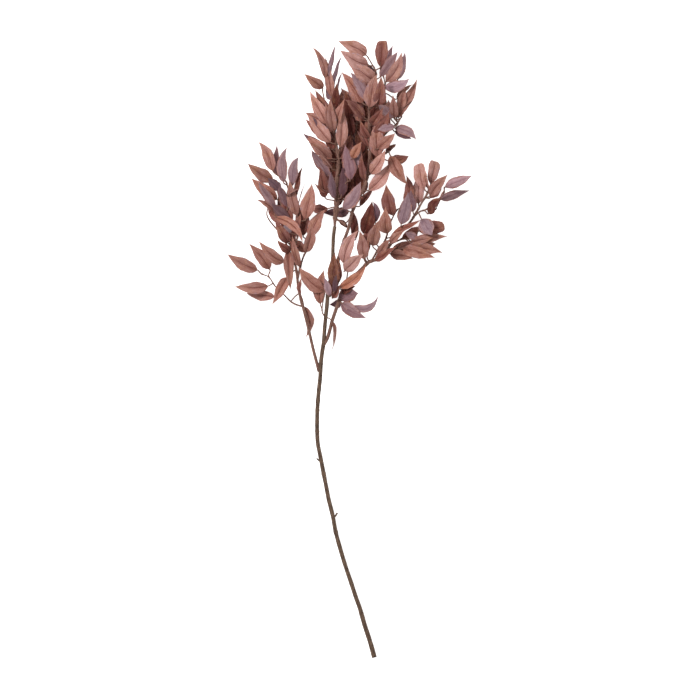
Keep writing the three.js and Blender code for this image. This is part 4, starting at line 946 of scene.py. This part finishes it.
# Adds a node with its settings, and sets its inputs or links them to another node's output
def add(tree, kind, settings, inputs, output=0):
    node = tree.nodes.new("ShaderNode" + kind)
    for key, value in settings.items():
        setattr(node, key, value)
    for key, value in inputs.items():
        if isinstance(value, bpy.types.NodeSocket):
            tree.links.new(value, node.inputs[key])
        else:
            node.inputs[key].default_value = value
    return node.outputs[output] if len(node.outputs) else node


def newMaterial(name):
    material = bpy.data.materials.new(name)
    material.use_nodes = True
    material.node_tree.nodes.clear()
    return material, material.node_tree


def finishMaterial(tree, inputs):
    shader = add(tree, "BsdfPrincipled", {}, inputs)
    add(tree, "OutputMaterial", {}, {"Surface": shader})


# Colour of each leaf by its tone: its upper side and its underside. The tones were first chosen, then
# moved until the render's average colours, by lightness and at single spots, came near the photograph's.
tones = {
    "rose": ("#B3837A", "#A28389"),
    "mid": ("#A06E63", "#95767B"),
    # The tone below is partly the leaves' own darker dye and partly painted shade for leaves lower in the
    # head
    "brown": ("#875249", "#7D5E64"),
    # Painted shade: the tone below is a dark copy of the rose leaf for leaves lying in shadow inside the
    # head
    "deep": ("#5C2B23", "#563438"),
    "orange": ("#B37560", "#A1858D"),
    "lilac": ("#A06E62", "#A9868C"),
    "heather": ("#A06E62", "#95777D"),
    # The tone below is partly the undersides' own darker dye and partly painted shade for leaves in the
    # head
    "mauve": ("#845145", "#826269"),
    # Painted shade: the tone below is a dark copy of the leaf for leaves lying in shadow inside the head
    "shadedDusk": ("#5D2F25", "#624349"),
    "pale": ("#BC9086", "#B8A0A4"),
    # Painted shade: the tone below is a rose-brown leaf darkened for the shadow it lies in
    "shadedUmber": ("#6F4437", "#62444A"),
}
leafColour = {
    "lightSpread": 0.13,  # how far a leaf's own draw makes it lighter or darker
    "warmthSpread": 0.05,
    "marginShare": 0.65,  # how far the underside takes the upper colour at the margin
    "streakWidth": 1.7,  # sizes are in millimetres
    "streakLength": 17,
    "mottleSize": 5,
    "grainSize": 0.9,  # the cloth's own weave is finer than the picture shows
    # While each of these passes from its first number to its second, the shade goes from the third to the
    # fourth. So does the saturation while the shade passes, richer where darker: painted red bounce light.
    "shades": {
        "streaks": (0.28, 0.72, 0.78, 1.17),
        "mottle": (0.25, 0.75, 0.9, 1.09),
        "grain": (0.3, 0.7, 0.94, 1.06),
        "base": (0, 0.4, 0.84, 1),  # shares of the length
        "tip": (0.6, 1, 1, 1.1),
        "middle": (0, 5, 0.9, 1.03),  # millimetres out from the midrib
    },
    "paintedBounceRichness": (0.6, 1.2, 1.14, 0.9),
    "stain": "#B07C5C",
    "stainSize": 15,
    "stainNoise": (0.53, 0.78),  # no stain below the first, the whole share above the second
    "stainShare": 0.34,
    "stainAtTip": 0.14,  # how much sooner the tip is stained than the base
    # Painted shade in the crease along the midrib: this dark colour, mixed in by the share below
    "groove": "#541F17",
    "creaseShadeShare": 0.66,
    "midribWidth": (0.3, 0.95),  # dark out to the first, gone at the second
    "midribEnd": (0.55, 0.7),  # shares of the length over which it dies away
    "ribShade": 0.16,  # of the rib on the underside
    "throughNoise": (0.5, 0.75),
    "throughShare": 0.45,  # of the upper colour that comes through below
    "veinSpacing": 4.5,
    "veinSlant": 1.15,  # millimetres along the leaf for each one out from the midrib
    "veinCrest": 0.7,  # of the sine, above which there is a vein
    "veinShade": 0.1,
    "veinHeight": 0.5,  # over the grain's
    "bump": (0.5, 0.25),  # strength and depth
}


def product(tree, first, second):
    return add(tree, "Math", {"operation": "MULTIPLY"}, {0: first, 1: second})


# A value times a factor, plus more
def timesPlus(tree, value, factor, more):
    return add(tree, "Math", {"operation": "MULTIPLY_ADD"}, {0: value, 1: factor, 2: more})


# Noise whose coarsest lumps are about size millimetres across
def noise(tree, place, size, detail, roughness):
    return add(tree, "TexNoise", {}, {"Vector": place, "Scale": 1 / (size * millimetre), "Detail": detail,
                                      "Roughness": roughness})


# The surface's normal, tilted by a height that is depth millimetres deep
def bumped(tree, height, strength, depth):
    return add(tree, "Bump", {}, {"Strength": strength, "Distance": depth * millimetre, "Height": height})


# The first colour where the share is 0 and the second where it is 1
def mixed(tree, share, first, second):
    return add(tree, "Mix", {"data_type": "RGBA"}, {0: share, 6: first, 7: second}, 2)


# From one value to another, smoothly, while the input passes from low to high
def fade(tree, value, low, high, before, after):
    return add(tree, "MapRange", {"interpolation_type": "SMOOTHSTEP"},
               {0: value, 1: low, 2: high, 3: before, 4: after})


# A colour made darker or lighter by a shade about 1, richer where dark: painted red bounce light in shade
def shaded(tree, colour, shade):
    paintedBounceRichness = fade(tree, shade, *leafColour["paintedBounceRichness"])
    return add(tree, "HueSaturation", {}, {"Saturation": paintedBounceRichness, "Value": shade, "Color": colour})


# What both sides of a leaf share. across and along are its own coordinates in millimetres. The shade is a
# product: streaks drawn out along the leaf, mottling, a darker base and middle, a lighter tip. A side vein
# is a sine of the way along the leaf less the way out from the midrib.
def leafNodes(tree, attribute):
    place = add(tree, "TexCoord", {}, {}, "Object")
    own = add(tree, "Attribute", {"attribute_name": attribute}, {}, "Color")
    seed = add(tree, "Attribute", {"attribute_name": "leafSeed"}, {}, "Fac")
    split = add(tree, "SeparateXYZ", {}, {0: add(tree, "UVMap", {"uv_map": "leaf"}, {})}).node.outputs
    share = split[1]
    offset = add(tree, "Math", {"operation": "SUBTRACT"}, {0: split[0], 1: 0.5})
    across = product(tree, offset, leafShape["width"])
    away = add(tree, "Math", {"operation": "ABSOLUTE"}, {0: across})
    along = product(tree, share, leafShape["length"])
    drawn = add(tree, "CombineXYZ", {}, {0: product(tree, across, 1 / leafColour["streakWidth"]),
                                         1: product(tree, along, 1 / leafColour["streakLength"]), 2: seed})
    streaks = add(tree, "TexNoise", {}, {"Vector": drawn, "Scale": 1, "Detail": 4, "Roughness": 0.6})
    mottle = noise(tree, place, leafColour["mottleSize"], 4, 0.6)
    grain = noise(tree, place, leafColour["grainSize"], 2, 0.5)
    shadedBy = {"streaks": streaks, "mottle": mottle, "grain": grain, "base": share, "tip": share,
                "middle": away}
    shade = 1
    for name, value in shadedBy.items():
        shade = product(tree, shade, fade(tree, value, *leafColour["shades"][name]))
    slant = timesPlus(tree, away, -leafColour["veinSlant"], along)
    wave = add(tree, "Math", {"operation": "SINE"},
               {0: product(tree, slant, 2 * np.pi / leafColour["veinSpacing"])})
    vein = fade(tree, wave, leafColour["veinCrest"], 1, 0, 1)
    midrib = product(tree, fade(tree, away, *leafColour["midribWidth"], 1, 0),
                     fade(tree, share, *leafColour["midribEnd"], 1, 0))
    return {"place": place, "own": own, "shade": shade, "vein": vein, "midrib": midrib,
            "grain": grain, "share": share, "streaks": streaks}


# Dyed cloth leaf, upper side: matt dusty rose with tan stains, lighter at the tip and margins, streaked
# along its length, and painted shade darkening the crease where the wire is pressed in
def upperMaterial():
    material, tree = newMaterial("dyed leaf upper side")
    leaf = leafNodes(tree, "upperColour")
    stain = noise(tree, leaf["place"], leafColour["stainSize"], 3, 0.6)
    stain = timesPlus(tree, leaf["share"], leafColour["stainAtTip"], stain)
    stain = fade(tree, stain, *leafColour["stainNoise"], 0, leafColour["stainShare"])
    colour = mixed(tree, stain, leaf["own"], rgba(leafColour["stain"]))
    veinShade = timesPlus(tree, leaf["vein"], -leafColour["veinShade"], 1)
    colour = shaded(tree, colour, product(tree, leaf["shade"], veinShade))
    # Painted shade darkens the crease along the midrib
    creaseShade = product(tree, leaf["midrib"], leafColour["creaseShadeShare"])
    colour = mixed(tree, creaseShade, colour, rgba(leafColour["groove"]))
    height = timesPlus(tree, leaf["vein"], -leafColour["veinHeight"], leaf["grain"])
    finishMaterial(tree, {"Roughness": 0.78, "Specular IOR Level": 0.3, "Sheen Weight": 0.05,
                          "Sheen Roughness": 0.5, "Base Color": colour,
                          "Normal": bumped(tree, height, *leafColour["bump"])})
    return material


# Dyed cloth leaf, underside: greyer and mauve, with a faint rib, and brown in streaks where the dye came
# through
def underMaterial():
    material, tree = newMaterial("dyed leaf underside")
    leaf = leafNodes(tree, "underColour")
    through = fade(tree, leaf["streaks"], *leafColour["throughNoise"], 0, leafColour["throughShare"])
    front = add(tree, "Attribute", {"attribute_name": "upperColour"}, {}, "Color")
    colour = mixed(tree, through, leaf["own"], front)
    ribShade = timesPlus(tree, leaf["midrib"], -leafColour["ribShade"], 1)
    colour = shaded(tree, colour, product(tree, leaf["shade"], ribShade))
    height = timesPlus(tree, leaf["vein"], leafColour["veinHeight"], leaf["grain"])
    finishMaterial(tree, {"Roughness": 0.85, "Specular IOR Level": 0.25, "Sheen Weight": 0.1,
                          "Sheen Roughness": 0.5, "Base Color": colour,
                          "Normal": bumped(tree, height, *leafColour["bump"])})
    return material


barks = {
    "stem": {"light": "#715A49", "dark": "#433227", "fleck": 2.2},  # fleck in millimetres
    "twig": {"light": "#8B6659", "dark": "#5B3E34", "fleck": 1.6},
    "drawnOut": 4,  # how many times longer than wide a fleck is
    "noise": (0.35, 0.65),  # dark below the first, light above the second
    "bump": (0.6, 0.4),
}


# Thin bark: brown, darker in patches that are drawn out along the stem, and dull
def barkMaterial(name, bark):
    material, tree = newMaterial(name)
    place = add(tree, "TexCoord", {}, {}, "Object")
    drawnOut = add(tree, "Mapping", {}, {"Vector": place, "Scale": (1, 1 / barks["drawnOut"], 1)})
    streaks = noise(tree, drawnOut, bark["fleck"], 5, 0.65)
    colour = mixed(tree, fade(tree, streaks, *barks["noise"], 0, 1), rgba(bark["dark"]),
                   rgba(bark["light"]))
    finishMaterial(tree, {"Roughness": 0.8, "Specular IOR Level": 0.35, "Base Color": colour,
                          "Normal": bumped(tree, streaks, *barks["bump"])})
    return material


stemBark = barkMaterial("willow bark", barks["stem"])
twigBark = barkMaterial("willow twig bark", barks["twig"])
leafUpper = upperMaterial()
leafUnder = underMaterial()
print("materials made")


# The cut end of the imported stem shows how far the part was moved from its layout
def layoutShift():
    first = smoothPath(placed(mainStem["path"]), 2)[:2]
    _, side, up = framesAlong(first)
    angle = np.radians(np.arange(0, 360, 45))[:, None]
    circle = np.cos(angle) * side[0] + np.sin(angle) * up[0]
    ring = first[0] + mainStem["radius"][0] * millimetre * circle
    low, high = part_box("main_stem")
    return np.array([high[0] - ring[:, 0].max(), low[1] - ring[:, 1].min(), 0])


shift = np.zeros(3)  # the layout as drawn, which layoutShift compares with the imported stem
shift = layoutShift()
print("layout moved by", shift)
stemWood()
sprays = {
    "left_branch": leftBranch,
    "right_branch": rightBranch,
    "left_leader": leftLeader,
    "right_leader": rightLeader,
    "left_sprig": leftSprig,
    "hanging_leaf": hangingLeaf,
}
for name, layoutRows in sprays.items():
    spray(name, layoutRows)

# Metres and watts
studio = {
    "cameraHeight": 30,
    "cameraSight": 100,
    "scaleHeight": 0.05,  # the middle of the leafy head, where the scale is the photograph's
    "sensor": 36,  # millimetres
    "floorSize": 30,
    "floorGap": 0.0004,
    "floor": "#F6F4F1",
    "floorGlow": 0.8,
    "sky": 0.36,
    "keyPlace": (-1.6, 1.4, 3.2),
    "keySize": 1.2,
    "keyPower": 112,
    "fillPlace": (1.8, -1.0, 3.6),
    "fillSize": 3,
    "fillPower": 25,
}


# A matt white table lit from within, which reads as blank white round the stem
def floorMaterial():
    material, tree = newMaterial("matt white table top")
    finishMaterial(tree, {"Base Color": rgba(studio["floor"]), "Roughness": 0.9, "Specular IOR Level": 0.2,
                          "Emission Color": (1, 1, 1, 1), "Emission Strength": studio["floorGlow"]})
    return material


def studioFloor():
    half = studio["floorSize"] / 2
    z = -studio["floorGap"]
    mesh = bpy.data.meshes.new("floor")
    corners = [(-half, -half, z), (half, -half, z), (half, half, z), (-half, half, z)]
    mesh.from_pydata(corners, [], [(0, 1, 2, 3)])
    mesh.materials.append(floorMaterial())
    floor = bpy.data.objects.new("floor", mesh)
    bpy.context.scene.collection.objects.link(floor)


# A round lamp that faces the origin
def softLight(name, place, size, power):
    light = bpy.data.lights.new(name, "AREA")
    light.shape = "DISK"
    light.size = size
    light.energy = power
    lamp = bpy.data.objects.new(name, light)
    lamp.location = place
    aim = -np.array(place)
    lamp.rotation_euler = (np.arctan2(np.hypot(aim[0], aim[1]), -aim[2]), 0, np.arctan2(-aim[0], aim[1]))
    bpy.context.scene.collection.objects.link(lamp)


# Straight above, at a distance where the whole photograph's width fills the frame
def camera():
    middle = placed([*layout["photoMiddle"], 0])
    height = studio["cameraHeight"]
    made = bpy.data.cameras.new("camera")
    made.sensor_width = studio["sensor"]
    made.lens = studio["sensor"] * (height - studio["scaleHeight"]) / (layout["photoSquares"] * square)
    made.clip_end = studio["cameraSight"]
    seen = bpy.data.objects.new("camera", made)
    seen.location = (middle[0], middle[1], height)
    bpy.context.scene.collection.objects.link(seen)
    bpy.context.scene.camera = seen


world = bpy.data.worlds.new("soft studio")
world.use_nodes = True
world.node_tree.nodes["Background"].inputs["Color"].default_value = (1, 1, 1, 1)
world.node_tree.nodes["Background"].inputs["Strength"].default_value = studio["sky"]
bpy.context.scene.world = world
bpy.context.scene.view_settings.view_transform = "Standard"
studioFloor()
softLight("key", studio["keyPlace"], studio["keySize"], studio["keyPower"])
softLight("fill", studio["fillPlace"], studio["fillSize"], studio["fillPower"])
camera()
print("studio made")
